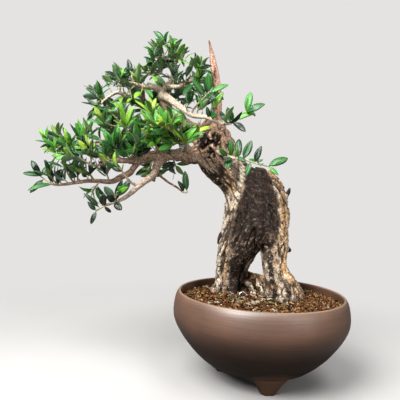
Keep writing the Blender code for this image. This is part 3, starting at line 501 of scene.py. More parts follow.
def path_frames(points: Path) -> list[tuple[Vector, Vector]]:
    """The direction and a crosswise direction at each point, turning as little as can be.

    Args:
        points: the path's points.

    Returns:
        For each point, the way ahead and the way across.
    """
    centres = [Vector(p[:3]) for p in points]
    last = len(points) - 1
    across = None
    frames = []
    for i in range(last + 1):
        ahead = (centres[min(i + 1, last)] - centres[max(i - 1, 0)]).normalized()
        across = across or ahead.orthogonal()
        across = (across - ahead * across.dot(ahead)).normalized()
        frames.append((ahead, across))
    return frames


def square_to(ahead: Vector, across: Vector, angle: float) -> Vector:
    """The direction square to ahead that lies at an angle from across."""
    return across * math.cos(angle) + ahead.cross(across) * math.sin(angle)


def path_length(path: Path) -> float:
    """How long a path is from its first point to its last."""
    return sum(math.dist(a[:3], b[:3]) for a, b in zip(path, path[1:]))


def plain_rings(rings: Sequence[Sequence[Vector]]) -> Shape:
    """Points and faces of rings joined up, for a test of clearance and not for a piece.

    Args:
        rings: rings of points, all of one count.

    Returns:
        The points and the faces.
    """
    size = len(rings[0])
    points = [p for ring in rings for p in ring]
    faces = []
    for i in range(len(rings) - 1):
        a, b = i * size, (i + 1) * size
        faces += [(a + k, a + (k + 1) % size, b + (k + 1) % size, b + k) for k in range(size)]
    faces.append(tuple(range(size))[::-1])
    faces.append(tuple(range((len(rings) - 1) * size, len(rings) * size)))
    return points, faces


def plain_tube(points: Path, sides: int) -> Shape:
    """The part's own tube along (x, y, z, radius), for a test of clearance.

    Args:
        points: the path, with a radius in each row.
        sides: how many sides the tube has.

    Returns:
        The points and the faces.
    """
    rings = []
    for (x, y, z, radius), (ahead, across) in zip(points, path_frames(points)):
        turn = [math.tau * (k + 0.5) / sides for k in range(sides)]
        rings.append([Vector((x, y, z)) + square_to(ahead, across, a) * radius for a in turn])
    return plain_rings(rings)


def strand_point(row: np.ndarray, ahead: Vector, at: float, angle: float) -> Vector:
    """A point on a ridged oval strand of the trunk.

    Args:
        row: x, y, z, half width and half depth there.
        ahead: the strand's direction there.
        at: the position counted in rings, which turns the ridges.
        angle: the angle round the strand.

    Returns:
        The point.
    """
    across = Vector((0, 1, 0)).cross(ahead).normalized()
    back = ahead.cross(across)
    lift = 1 + sum(h * math.sin(n * angle + turn * at + n) for n, h, turn in RIDGES)
    wide, deep = row[3] * lift, row[4] * lift
    return Vector(row[:3]) + across * (math.cos(angle) * wide) + back * (math.sin(angle) * deep)


def plain_strand(rings: Path, sides: int) -> Shape:
    """The part's own trunk strand, for a test of clearance.

    Args:
        rings: the strand's rings.
        sides: how many sides the strand has.

    Returns:
        The points and the faces.
    """
    centres = [Vector(r[:3]) for r in rings]
    last = len(rings) - 1
    made = []
    for i, row in enumerate(rings):
        ahead = (centres[min(i + 1, last)] - centres[max(i - 1, 0)]).normalized()
        turn = [math.tau * k / sides for k in range(sides)]
        made.append([strand_point(np.array(row), ahead, i, a) for a in turn])
    return plain_rings(made)


def plain_ball(at: Row, radii: Row, around: int, down: int) -> Shape:
    """The part's own ellipsoid, for a test of clearance.

    Args:
        at: the middle.
        radii: the three radii.
        around: how many sides it has.
        down: how many bands it has from front to back.

    Returns:
        The points and the faces.
    """
    rings = []
    for j in range(1, down):
        tilt = math.pi * j / down
        ring = []
        for k in range(around):
            a = math.tau * k / around
            x = radii[0] * math.sin(tilt) * math.cos(a)
            z = radii[2] * math.sin(tilt) * math.sin(a)
            ring.append((at[0] + x, at[1] - radii[1] * math.cos(tilt), at[2] + z))
        rings.append(ring)
    return plain_rings(rings)


def plain_leaf(root: Vector, tip: Vector, face: Vector, width: float, deep: float) -> Shape:
    """The part's own wedge of a leaf, for a test of clearance.

    Args:
        root: where the leaf starts.
        tip: where it ends.
        face: the way its upper side turns.
        width: how wide it is.
        deep: how thick it is.

    Returns:
        The points and the faces.
    """
    along = tip - root
    length = along.length
    axis = along / length
    out = (face - axis * face.dot(axis)).normalized()
    side = axis.cross(out)
    points = [root]
    for t, wide in ((0.36, 0.94), (0.78, 0.78)):
        reach = width / 2 * wide
        middle = root + axis * (length * t) + out * (length * 0.09 * math.sin(math.pi * t))
        points += [middle + side * reach, middle - side * reach, middle - out * deep]
    points.append(tip)
    faces = [(0, 2, 1), (0, 3, 2), (0, 1, 3), (4, 5, 7), (5, 6, 7), (6, 4, 7)]
    for k in range(3):
        n = (k + 1) % 3
        faces += [(1 + k, 1 + n, 4 + n), (1 + k, 4 + n, 4 + k)]
    return points, faces


def along_path(points: Path, at: float) -> tuple[Vector, float, Vector]:
    """The place, radius and direction at a position counted in points along a path.

    Args:
        points: the path, with a radius in each row.
        at: the position, where 1.5 is halfway from the second point to the third.

    Returns:
        The place, the radius and the direction.
    """
    i = min(int(at), len(points) - 2)
    f = at - i
    a, b = Vector(points[i][:3]), Vector(points[i + 1][:3])
    return a.lerp(b, f), points[i][3] * (1 - f) + points[i + 1][3] * f, (b - a).normalized()


def bowed(start: Vector, end: Vector, rise: float, radii: Row, steps: int) -> list[Row]:
    """A twig from start to end that lifts in its middle, or a straight one of one step.

    Args:
        start: where the twig starts.
        end: where it ends.
        rise: how far its middle lifts.
        radii: its first and its last radius.
        steps: how many steps it has.

    Returns:
        The twig's path.
    """
    path = []
    for k in range(steps + 1):
        t = k / steps
        here = start.lerp(end, t) + Vector((0, 0, rise * 4 * t * (1 - t)))
        path.append((*here, radii[0] * (1 - t) + radii[1] * t))
    return path


def thicker(path: Path, by: float, skip: float = 0.0) -> list[Row]:
    """The same path with wider rings, for a test of clearance, without its first part.

    Args:
        path: the path, with a radius in each row.
        by: how much is added to each radius.
        skip: how much of the path the first part is, from 0 to 1.

    Returns:
        The wider path.
    """
    first, _, _ = along_path(path, skip * (len(path) - 1))
    kept = [p for i, p in enumerate(path) if i > skip * (len(path) - 1)]
    return [(x, y, z, r + by) for x, y, z, r in [(*first, path[0][3]), *kept]]


@dataclass
class Thicket:
    """All that has been placed so far, so that what comes next can be kept clear of it."""

    placed: list[tuple[str, Vector, float, BVHTree]] = field(default_factory=list)

    @staticmethod
    def measure(shape: Shape) -> tuple[Vector, float, BVHTree]:
        """A shape's middle, how far it reaches from there, and its tree of faces.

        Args:
            shape: the points and the faces.

        Returns:
            The middle, the reach and the tree.
        """
        points = [Vector(p) for p in shape[0]]
        middle = sum(points, Vector()) / len(points)
        reach = max((p - middle).length for p in points)
        return middle, reach, BVHTree.FromPolygons(points, shape[1])

    def add(self, owner: str, shape: Shape) -> None:
        """Adds a shape that belongs to the named spray."""
        self.placed.append((owner, *self.measure(shape)))

    def hits(self, owner: str, shape: Shape, own_shape: Shape | None = None) -> bool:
        """Tells whether the shape crosses others, or own_shape crosses its own spray.

        Args:
            owner: the spray's name.
            shape: what must keep off the other sprays.
            own_shape: what must keep off the spray's own shapes.

        Returns:
            True where one crosses.
        """
        middle, reach, tree = self.measure(shape)
        own = BVHTree.FromPolygons(*own_shape) if own_shape else None
        for other, centre, far, placed in self.placed:
            if (centre - middle).length > reach + far:
                continue
            if other != owner:
                if tree.overlap(placed):
                    return True
            elif own and own.overlap(placed):
                return True
        return False


@dataclass
class Leaf:
    """One leaf of a spray: its ends, the way that its upper side turns, and its looks."""

    root: Vector
    tip: Vector
    face: Vector
    width: float
    age: float = 0.0


@dataclass
class Spray:
    """A leafy spray: its limb, its twigs with the main one first, and its leaves.

    An open one stands apart in the photo, and an extra one isn't among the part's nodes.
    """

    name: str
    limb: str
    foot: Vector
    twigs: list[list[Row]] = field(default_factory=list)
    leaves: list[Leaf] = field(default_factory=list)
    open: bool = False
    extra: bool = False


class Growth:
    """Lays out every spray as the part does, with the same draws in the same order."""

    def __init__(self) -> None:
        """Fills the thicket with the trunk and its limbs."""
        self.rng = random.Random(SEED)
        self.thicket = Thicket()
        self.sprays: dict[str, Spray] = {}
        wood = [plain_strand(rings, TRUNK_SIDES) for rings in (LEFT_STRAND, RIGHT_STRAND)]
        wood += [plain_strand(FRONT_PANEL, PANEL_SIDES), plain_ball(KNOT_AT, KNOT_RADII, 10, 6)]
        for sides, path in GROWTHS.values():
            wood += [plain_tube(pair, sides) for pair in zip(path, path[1:])]
        for shape in wood:
            self.thicket.add("trunk", shape)

    def add_twig(self, spray: Spray, path: Path | None) -> None:
        """Gives a spray a twig, and keeps the others clear of it.

        Args:
            spray: the spray.
            path: the twig's path.
        """
        if path:
            spray.twigs.append(path)
            self.sprays[spray.name] = spray
            self.thicket.add(spray.name, plain_tube(path, TWIG_SIDES))

    def main_twig(self, owner: str, limb: str, at: float, tip: Row) -> list[Row] | None:
        """The twig of a spray, moved off its limb and bent until it is clear of the rest.

        Args:
            owner: the spray's name.
            limb: the limb that it grows from.
            at: the position along the limb.
            tip: where the twig should end.

        Returns:
            The twig's path, or None where there is no room.
        """
        foot_at, radius, _ = along_path(GROWTHS[limb][1], at)
        aim = Vector(tip) - foot_at
        for bow in (0.1, -0.06, 0.2, 0.28, -0.15):
            for lift in (0.6, 1.1, 1.8, 2.8, 4.0):
                direction = aim.normalized()
                off = (direction + Vector((0, 0, bow * 1.5))).normalized()
                start = foot_at + off * (radius + lift)
                end = Vector(tip) - direction * min(13.0, 0.45 * aim.length)
                path = bowed(start, end, bow * (end - start).length, TWIG, TWIG_STEPS)
                if not self.thicket.hits(owner, plain_tube(thicker(path, 0.35), TWIG_SIDES)):
                    return path
        return None

    def side_twig(self, owner: str, parent: Path, at: float, around: float) -> list[Row] | None:
        """A short twig that forks off a main one.

        Args:
            owner: the spray's name.
            parent: the main twig.
            at: the position along it.
            around: the turn about it.

        Returns:
            The twig's path, or None where there is no room.
        """
        root, _, ahead = along_path(parent, at)
        across = ahead.orthogonal().normalized()
        for _ in range(8):
            out = square_to(ahead, across, around + self.rng.uniform(-0.6, 0.6))
            direction = (ahead * 0.75 + out + Vector((0, 0, 0.3))).normalized()
            end = root + direction * self.rng.uniform(8.0, 12.0)
            path = bowed(root, end, 0.8, SIDE_TWIG, 1)
            far = plain_tube(thicker(path, 0.35, 0.4), TWIG_SIDES)
            if not self.thicket.hits(owner, plain_tube(thicker(path, 0.3, 0.1), TWIG_SIDES), far):
                return path
        return None

    def place_leaf(self, owner: str, root: Vector, tip: Vector, face: Vector) -> Leaf | None:
        """The leaf if it is clear of all the others, or None.

        Args:
            owner: the spray's name.
            root: where the leaf starts.
            tip: where it ends.
            face: the way its upper side turns.

        Returns:
            The leaf, or None where there is no room.
        """
        width = LEAF_WIDTH * (tip - root).length
        far = plain_leaf(root.lerp(tip, 0.32), tip, face, width + 0.6, LEAF_DEEP + 0.3)
        wide = plain_leaf(root.lerp(tip, 0.06), tip, face, width + 1.0, LEAF_DEEP + 0.4)
        if self.thicket.hits(owner, wide, far):
            return None
        self.thicket.add(owner, plain_leaf(root, tip, face, width, LEAF_DEEP))
        return Leaf(root, tip, face, width)

    def leaf_face(self, root: Vector, ahead: Vector) -> Vector:
        """The way a leaf's upper side turns: outwards from the crown, up, and up its twig.

        Args:
            root: where the leaf starts.
            ahead: the twig's direction there.

        Returns:
            The direction.
        """
        outwards = (root - Vector(CROWN_MIDDLE)).normalized()
        stray = Vector([self.rng.uniform(-0.4, 0.4) for _ in range(3)])
        return outwards * 0.7 + ahead * 0.35 + Vector((0, 0, 0.35)) + stray

    def leaf_pairs(self, owner: str, path: Path, first: float) -> list[Leaf]:
        """Opposite pairs up a twig, each turned a quarter from the last, and one at its end.

        Args:
            owner: the spray's name.
            path: the twig.
            first: how far along it the first pair sits, from 0 to 1.

        Returns:
            The leaves that have room.
        """
        made = []
        rng = self.rng
        count = max(1, round(path_length(path) * (1 - first) / LEAF_SPACING))
        turn = rng.choice((0, math.pi / 2))
        frames = path_frames(path)
        for n in range(count + 1):
            share = first + (1 - first) * n / count
            at = min(share, 0.96) * (len(path) - 1)
            root, _, _ = along_path(path, at)
            ahead, across = frames[round(at)]
            opening = math.radians(66 - 30 * share)
            for side in (0, math.pi):
                for attempt in range(9):
                    a = turn + side + rng.uniform(-0.12, 0.12) * attempt
                    out = square_to(ahead, across, a)
                    spread = opening + rng.uniform(-0.2, 0.2)
                    direction = ahead * math.cos(spread) + out * math.sin(spread)
                    direction = (direction + Vector((0, 0, 0.34))).normalized()
                    size = rng.uniform(*LEAF_LENGTH) * (0.78 if n == count else 1.0)
                    size *= 1 - 0.04 * attempt
                    face = self.leaf_face(root, ahead)
                    leaf = self.place_leaf(owner, root, root + direction * size, face)
                    if leaf:
                        leaf.age = share
                        made.append(leaf)
                        break
            turn += math.pi / 2
        return made

    def open_leaves(self, owner: str, path: Path, tips: Path) -> list[Leaf]:
        """Leaves whose tips are given, each grown from the twig near its nearest point.

        Args:
            owner: the spray's name.
            path: the twig.
            tips: the leaves' tips.

        Returns:
            The leaves that have room.
        """
        made = []
        longest = 23.0
        for tip in tips:
            aim = Vector(tip)
            stations = [k / 40 * (len(path) - 1) for k in range(41)]
            near = min(stations, key=lambda s: (along_path(path, s)[0] - aim).length)
            length = (along_path(path, near)[0] - aim).length
            root, _, _ = along_path(path, max(0.25, near - 0.1 * length / 9))
            if (aim - root).length > longest:
                aim = root + (aim - root).normalized() * longest
            leaf = self.place_leaf(owner, root, aim, Vector((0, -1, 0.35)))
            if leaf:
                leaf.age = near / (len(path) - 1)
                made.append(leaf)
        return made

    def lay_out(self) -> dict[str, Spray]:
        """Lays out the twigs and then the leaves of every spray.

        Returns:
            The sprays by the names of their nodes.
        """
        for limb, (path, _) in OPEN_SPRAYS.items():
            end, _, _ = along_path(GROWTHS[limb][1], len(GROWTHS[limb][1]) - 1)
            first = end + (Vector(path[0]) - end).normalized() * 1.4
            rest = [(*p, TWIG[0] - 0.1 * (k + 1)) for k, p in enumerate(path)]
            spray = Spray(f"spray_open_{limb}", limb, end, open=True)
            self.add_twig(spray, [(*first, TWIG[0]), *rest])
        for n, (limb, at, tip, _) in enumerate(SPRAYS):
            foot_at, _, _ = along_path(GROWTHS[limb][1], at)
            spray = Spray(f"spray_{n + 1:02d}", limb, foot_at)
            self.add_twig(spray, self.main_twig(spray.name, limb, at, tip))
        for n, (_, _, _, forks) in enumerate(SPRAYS):
            spray = self.sprays.get(f"spray_{n + 1:02d}")
            if spray:
                turn = self.rng.uniform(0, math.tau)
                for k in range(forks):
                    fork = self.side_twig(spray.name, spray.twigs[0], 0.9 + 0.5 * k, turn + 2.4 * k)
                    self.add_twig(spray, fork)
        for spray in self.sprays.values():
            if spray.open:
                tips = OPEN_SPRAYS[spray.limb][1]
                spray.leaves = self.open_leaves(spray.name, spray.twigs[0], tips)
        for spray in self.sprays.values():
            if not spray.open:
                for path in spray.twigs:
                    first = 0.3 if path is spray.twigs[0] else 0.55
                    spray.leaves += self.leaf_pairs(spray.name, path, first)
        return self.sprays


class Tint(Enum):
    """Colours of the tree and its soil, as sRGB hex values."""

    BARK_PALE = "#c0ae98"
    BARK_MID = "#8a7460"
    BARK_TAN = "#a88562"
    # Dark bark, also used as painted shade under the neck and in the bark's cracks.
    BARK_DARK = "#3d3029"
    FLAKE = "#e4d9c8"
    CHAR = "#130e0d"
    CHAR_FIBRE = "#3a2d29"
    CHAR_SPECK = "#9a8775"
    CREAM = "#f0e4cf"
    GOLD = "#d2ae80"
    # Rotten wood, darkened further as painted shade in the hollow.
    ROT = "#1c1411"
    ROT_CHIP = "#cfae92"
    DEADWOOD = "#c49e89"
    # Dark deadwood, also used as painted shade at the foot of the riser behind the crown.
    DEADWOOD_DARK = "#6b4b3d"
    LIMB_RED = "#b29682"
    LIMB_GREY = "#c2b09a"
    LIMB_PALE = "#d0c0ad"
    TWIG_GREEN = "#8f9c54"
    GRAIN_RUST = "#75482b"
    GRAIN_TAN = "#b07e4b"
    GRAIN_DARK = "#2b1d14"
    GRAIN_OCHRE = "#c2a067"
    GRAIN_PALE = "#e4dac2"
    GRAIN_MOSS = "#7c7a4c"

    def rgb(self) -> np.ndarray:
        """The colour as three linear values."""
        return linear(self.value)


def mix(under: np.ndarray | Tint, over: np.ndarray | Tint, weight: np.ndarray) -> np.ndarray:
    """Lays one colour over another by a weight for each point.

    Args:
        under: a tint, or linear colours, one to a point.
        over: the same for what lies over it.
        weight: for each point, 0 for the one below to 1 for the one above.

    Returns:
        The linear colour of each point.
    """
    below, above = (c.rgb() if isinstance(c, Tint) else c for c in (under, over))
    return below * (1 - weight[:, None]) + above * weight[:, None]


def colour_points(mesh: bpy.types.Mesh, colours: np.ndarray) -> None:
    """Stores one linear colour for each point of a mesh, as "tint".

    Args:
        mesh: the mesh.
        colours: linear colours, one to a row.
    """
    layer = mesh.attributes.new("tint", "FLOAT_COLOR", "POINT")
    with_alpha = np.ones((len(mesh.vertices), 4))
    with_alpha[:, :3] = colours
    layer.data.foreach_set("color", with_alpha.ravel().astype(np.float32))


def value_points(mesh: bpy.types.Mesh, name: str, values: np.ndarray) -> None:
    """Stores one number for each point of a mesh."""
    layer = mesh.attributes.new(name, "FLOAT", "POINT")
    layer.data.foreach_set("value", values.astype(np.float32))


def points_of(mesh: bpy.types.Mesh) -> np.ndarray:
    """The mesh's points, one to a row.

    Args:
        mesh: the mesh.

    Returns:
        The points.
    """
    flat = np.empty(len(mesh.vertices) * 3)
    mesh.vertices.foreach_get("co", flat)
    return flat.reshape(-1, 3)


def normals_of(mesh: bpy.types.Mesh) -> np.ndarray:
    """The direction that each of the mesh's points faces.

    Args:
        mesh: the mesh.

    Returns:
        The directions, one to a row.
    """
    flat = np.empty(len(mesh.vertices) * 3)
    mesh.vertex_normals.foreach_get("vector", flat)
    return flat.reshape(-1, 3)


def in_metres(spots: np.ndarray) -> np.ndarray:
    """Moves points from the pot's millimetres to the row frame's metres."""
    return (spots + (SHIFT_X, 0, 0)) * MM


def mesh_copies(name: str, template: bmesh.types.BMesh, places: np.ndarray) -> bpy.types.Mesh:
    """Repeats a template's faces over many sets of points.

    Args:
        name: the mesh's name.
        template: the shape, which is freed.
        places: for each copy, the points of the template where they end up.

    Returns:
        One mesh of all the copies, in the row frame's metres.
    """
    template.verts.index_update()
    faces = [[v.index for v in f.verts] for f in template.faces]
    size = len(template.verts)
    template.free()
    corners = [
        [base + k for k in face] for base in range(0, size * len(places), size) for face in faces
    ]
    mesh = bpy.data.meshes.new(name)
    mesh.from_pydata(in_metres(places.reshape(-1, 3)).tolist(), [], corners)
    return mesh


COLOURS = {"data_type": "RGBA"}
MULTIPLY = {**COLOURS, "blend_type": "MULTIPLY"}


@dataclass(frozen=True)
class Finish:
    """One real material with its surface, drawn by a node tree round a Principled shader."""

    name: str

    def paint(self, tree: bpy.types.NodeTree) -> Settings:
        """Adds the finish's nodes and returns what feeds the shader."""
        raise NotImplementedError

    def build(self) -> bpy.types.Material:
        """Returns the material.

        Returns:
            The material.
        """
        made = bpy.data.materials.new(self.name)
        made.use_nodes = True
        feed(made.node_tree.nodes["Principled BSDF"], self.paint(made.node_tree))
        return made


@dataclass(frozen=True)
class WeatheredWood(Finish):
    """Living and dead olive wood, whose large parts are painted point by point.

    Bark is rough and hardly shines. Crumbs and long fibres break up its colour and its light;
    they are drawn coarser than the real ones, so that they show.
    """

    name: str = "weathered olive bark and deadwood"
    crumb_mm: float = 1.1
    fibre_mm: float = 0.8
    fibre_stretch: float = 0.16
    bump_mm: float = 0.5
    crumb_stops: Stops = ((0.38, "#585450"), (0.5, "#b8b5b2"), (0.62, "#f0eeec"))
    fibre_stops: Stops = ((0.36, "#a39b95"), (0.55, "#ffffff"))

    def paint(self, tree: bpy.types.NodeTree) -> Settings:
        """Adds the finish's nodes and returns what feeds the shader.

        Args:
            tree: the material's node tree.

        Returns:
            The shader's inputs.
        """
        tint = add_node(tree, "Attribute", {"attribute_name": "tint"})
        spot = add_node(tree, "TexCoord", {}, "Object")
        long = add_node(tree, "Mapping", {"Scale": (1, 1, self.fibre_stretch), "Vector": spot})
        crumb, fibre = (
            add_node(
                tree, "TexNoise", {"size_mm": size, "Detail": detail, "Roughness": rough, "Vector": where}
            )
            for size, detail, rough, where in (
                (self.crumb_mm, 4, 0.65, spot),
                (self.fibre_mm, 3, 0.6, long),
            )
        )
        spread = add_node(tree, "ValToRGB", {"stops": self.crumb_stops, "Fac": crumb})
        over = {**COLOURS, "blend_type": "OVERLAY"}
        stained = add_node(tree, "Mix", {**over, 0: 0.85, 6: tint, 7: spread}, 2)
        streak = add_node(tree, "ValToRGB", {"stops": self.fibre_stops, "Fac": fibre})
        stained = add_node(tree, "Mix", {**MULTIPLY, 0: 0.55, 6: stained, 7: streak}, 2)
        height = add_node(tree, "Math", {"operation": "ADD", 0: crumb, 1: fibre})
        relief = {"Strength": 0.8, "Distance": self.bump_mm * MM, "Height": height}
        return {
            "Base Color": stained,
            "Normal": add_node(tree, "Bump", relief),
            "Roughness": 0.85,
            "Specular IOR Level": 0.15,
        }


@dataclass(frozen=True)
class OliveLeafSkin(Finish):
    """A leathery olive leaf: waxy and green above, felted and grey-green below.

    The point value "age" runs from old, dark and blue-green to young and yellow-green, and its
    darkest old end also stands for painted shade inside the crown. "under" marks the lower side.
    The UV map runs across the blade and along it.
    """

    name: str = "waxy olive leaf"
    vein_count: float = 9.0
    vein_slant: float = -0.55
    mottle_mm: float = 3.5
    # Leaf colour by age. The darkest end is also painted shade inside the crown.
    ages: Stops = (
        (0.0, "#0a2312"), (0.2, "#12381b"), (0.45, "#1f6026"), (0.7, "#3f8f2b"), (0.88, "#6cab2c"),
        (1.0, "#a3c23a"),
    )
    rib_stops: Stops = ((0.0, "#d0d0d0"), (0.025, "#909090"), (0.06, "#000000"))

    def paint(self, tree: bpy.types.NodeTree) -> Settings:
        """Adds the finish's nodes and returns what feeds the shader.

        Args:
            tree: the material's node tree.

        Returns:
            The shader's inputs.
        """
        age, under = (
            add_node(tree, "Attribute", {"attribute_name": name}, "Fac") for name in ("age", "under")
        )
        spot = add_node(tree, "TexCoord", {}, "Object")
        chart = add_node(tree, "TexCoord", {}, "UV")
        across, along = (add_node(tree, "SeparateXYZ", {"Vector": chart}, k) for k in (0, 1))
        off = add_node(tree, "Math", {"operation": "SUBTRACT", 0: across, 1: 0.5})
        side = add_node(tree, "Math", {"operation": "ABSOLUTE", 0: off})
        blade = add_node(tree, "ValToRGB", {"stops": self.ages, "Fac": age})
        mottle = add_node(tree, "TexNoise", {"size_mm": self.mottle_mm, "Detail": 2, "Vector": spot})
        shade = add_node(
            tree, "ValToRGB", {"stops": ((0.3, "#c2c6c2"), (0.7, "#ffffff")), "Fac": mottle}
        )
        blade = add_node(tree, "Mix", {**MULTIPLY, 0: 0.6, 6: blade, 7: shade}, 2)
        slant = add_node(tree, "Math", {"operation": "MULTIPLY_ADD", 0: side, 1: self.vein_slant, 2: along})
        turns = add_node(
            tree, "Math", {"operation": "MULTIPLY", 0: slant, 1: self.vein_count * math.tau}
        )
        vein = add_node(tree, "Math", {"operation": "SINE", 0: turns})
        lines = add_node(
            tree, "ValToRGB", {"stops": ((0, "#000000"), (0.9, "#000000"), (1, "#5a5a5a")), "Fac": vein}
        )
        blade = add_node(tree, "Mix", {**COLOURS, "blend_type": "ADD", 0: 0.16, 6: blade, 7: lines}, 2)
        edge = add_node(
            tree, "ValToRGB", {"stops": ((0.36, "#000000"), (0.48, "#6e6e6e")), "Fac": side}
        )
        margin = add_node(tree, "Math", {"operation": "MULTIPLY", 0: edge, 1: age})
        blade = add_node(tree, "Mix", {**COLOURS, 0: margin, 6: blade, 7: "#9dbd62"}, 2)
        ribs = add_node(tree, "ValToRGB", {"stops": self.rib_stops, "Fac": side})
        clearer = add_node(tree, "MapRange", {"To Min": 0.3, "To Max": 1.0, "Value": age})
        rib = add_node(tree, "Math", {"operation": "MULTIPLY", 0: ribs, 1: clearer})
        upper = add_node(tree, "Mix", {**COLOURS, 0: rib, 6: blade, 7: "#a2bf74"}, 2)
        felt = add_node(tree, "Mix", {**COLOURS, 0: rib, 6: "#63806a", 7: "#9aab82"}, 2)
        lower = add_node(tree, "Mix", {**COLOURS, 0: age, 6: felt, 7: "#7c9c3a"}, 2)
        relief = {"Strength": 0.35, "Distance": 0.25 * MM, "Height": vein}
        return {
            "Base Color": add_node(tree, "Mix", {**COLOURS, 0: under, 6: upper, 7: lower}, 2),
            "Roughness": add_node(tree, "MapRange", {"To Min": 0.27, "To Max": 0.6, "Value": under}),
            "Normal": add_node(tree, "Bump", relief),
            "Specular IOR Level": 0.45,
            "Subsurface Weight": 0.12,
            "Subsurface Radius": (0.6, 1.0, 0.2),
            "Subsurface Scale": 1.2 * MM,
        }


@dataclass(frozen=True)
class Stoneware(Finish):
    """Unglazed brown stoneware, thrown on a wheel and reduction fired.

    It is satin, with fine rings from the potter's fingers, darkened towards the bottom as
    painted shade, and paler where the lip and the feet caught the flame.
    """

    name: str = "unglazed reduction-fired stoneware"
    ring_mm: float = 1.3
    height_mm: float = 98.3
    # Colour up the pot: darker towards the bottom as painted shade, and paler at the lip.
    fired: Stops = (
        (0.0, "#2c211b"), (0.24, "#261c18"), (0.42, "#2b201a"), (0.6, "#3c2920"), (0.78, "#604434"),
        (0.984, "#6e5443"), (0.996, "#8b7460"),
    )

    def paint(self, tree: bpy.types.NodeTree) -> Settings:
        """Adds the finish's nodes and returns what feeds the shader.

        Args:
            tree: the material's node tree.

        Returns:
            The shader's inputs.
        """
        spot = add_node(tree, "TexCoord", {}, "Object")
        centred = add_node(tree, "Mapping", {"Location": (-SHIFT_X * MM, 0, 0), "Vector": spot})
        flat = add_node(tree, "Mapping", {"Scale": (0.03, 0.03, 1), "Vector": centred})
        rings, broad, cloud, grit = (
            add_node(tree, "TexNoise", {"size_mm": size, "Detail": detail, "Vector": where})
            for size, detail, where in (
                (self.ring_mm, 3, flat), (9, 2, flat), (38, 3, centred), (0.9, 2, centred),
            )
        )
        level = add_node(tree, "SeparateXYZ", {"Vector": centred}, 2)
        up = add_node(tree, "MapRange", {"From Max": self.height_mm * MM, "Value": level})
        # Painted shade: the clay's colour darkens towards the bottom.
        colour = add_node(tree, "ValToRGB", {"stops": self.fired, "Fac": up})
        foot = add_node(tree, "Attribute", {"attribute_name": "foot"}, "Fac")
        colour = add_node(tree, "Mix", {**COLOURS, 0: foot, 6: colour, 7: "#614a3c"}, 2)
        for pattern, share, stops in (
            (cloud, 0.8, ((0.35, "#d9d2cd"), (0.65, "#fff3ea"))),
            (rings, 0.5, ((0.3, "#cfc8c2"), (0.6, "#ffffff"))),
            (grit, 0.5, ((0.28, "#8d857f"), (0.36, "#ffffff"))),
        ):
            shade = add_node(tree, "ValToRGB", {"stops": stops, "Fac": pattern})
            colour = add_node(tree, "Mix", {**MULTIPLY, 0: share, 6: colour, 7: shade}, 2)
        height = add_node(tree, "Math", {"operation": "MULTIPLY_ADD", 0: broad, 1: 2.5, 2: rings})
        satin = {"From Min": 0.3, "From Max": 0.7, "To Min": 0.4, "To Max": 0.54, "Value": broad}
        sheen = {"From Min": 0.5, "From Max": 0.85, "To Min": 0.12, "To Max": 1.0, "Value": up}
        relief = {"Strength": 0.4, "Distance": 0.2 * MM, "Height": height}
        return {
            "Base Color": colour,
            "Roughness": add_node(tree, "MapRange", satin),
            "Normal": add_node(tree, "Bump", relief),
            "Specular IOR Level": add_node(tree, "MapRange", sheen),
        }


@dataclass(frozen=True)
class DustyFinish(Finish):
    """A plain surface with one noise in its colour and its relief.

    It serves the baked-clay and pumice gravel, which is dry, matt and porous and has each
    grain's own colour as "tint", and the moulded black mesh with dust from the soil on it.
    """

    name: str
    grain_mm: float
    detail: float
    stops: Stops
    strength: float
    depth_mm: float
    roughness: float
    specular: float = 0.5
    tinted: bool = False

    def paint(self, tree: bpy.types.NodeTree) -> Settings:
        """Adds the finish's nodes and returns what feeds the shader.

        Args:
            tree: the material's node tree.

        Returns:
            The shader's inputs.
        """
        spot = add_node(tree, "TexCoord", {}, "Object")
        grain = add_node(
            tree, "TexNoise", {"size_mm": self.grain_mm, "Detail": self.detail, "Vector": spot}
        )
        colour = add_node(tree, "ValToRGB", {"stops": self.stops, "Fac": grain})
        if self.tinted:
            tint = add_node(tree, "Attribute", {"attribute_name": "tint"})
            colour = add_node(tree, "Mix", {**MULTIPLY, 0: 0.8, 6: tint, 7: colour}, 2)
        relief = {"Strength": self.strength, "Distance": self.depth_mm * MM, "Height": grain}
        return {
            "Base Color": colour,
            "Normal": add_node(tree, "Bump", relief),
            "Roughness": self.roughness,
            "Specular IOR Level": self.specular,
        }


LOOSE_GRAVEL = DustyFinish(
    "dry baked-clay and pumice gravel", 0.7, 3, ((0.32, "#7d746c"), (0.6, "#ffffff")),
    0.7, 0.3, 0.92, 0.1, tinted=True,
)
MOULDED_MESH = DustyFinish(
    "moulded polyethylene mesh", 4, 4, ((0.35, "#1c1c1b"), (0.7, "#3a332c")), 0.3, 0.2, 0.55
)


@dataclass(frozen=True)
class DrawnWire(Finish):
    """Bare drawn aluminium wire: a bright metal with a patchy dull bloom."""

    name: str = "bare drawn aluminium"
    bloom_mm: float = 1.5

    def paint(self, tree: bpy.types.NodeTree) -> Settings:
        """Adds the finish's nodes and returns what feeds the shader.

        Args:
            tree: the material's node tree.

        Returns:
            The shader's inputs.
        """
        spot = add_node(tree, "TexCoord", {}, "Object")
        bloom = add_node(tree, "TexNoise", {"size_mm": self.bloom_mm, "Detail": 3, "Vector": spot})
        metal = {"stops": ((0.3, "#b9babd"), (0.7, "#e6e7e9")), "Fac": bloom}
        return {
            "Base Color": add_node(tree, "ValToRGB", metal),
            "Roughness": add_node(tree, "MapRange", {"To Min": 0.2, "To Max": 0.42, "Value": bloom}),
            "Metallic": 1.0,
        }


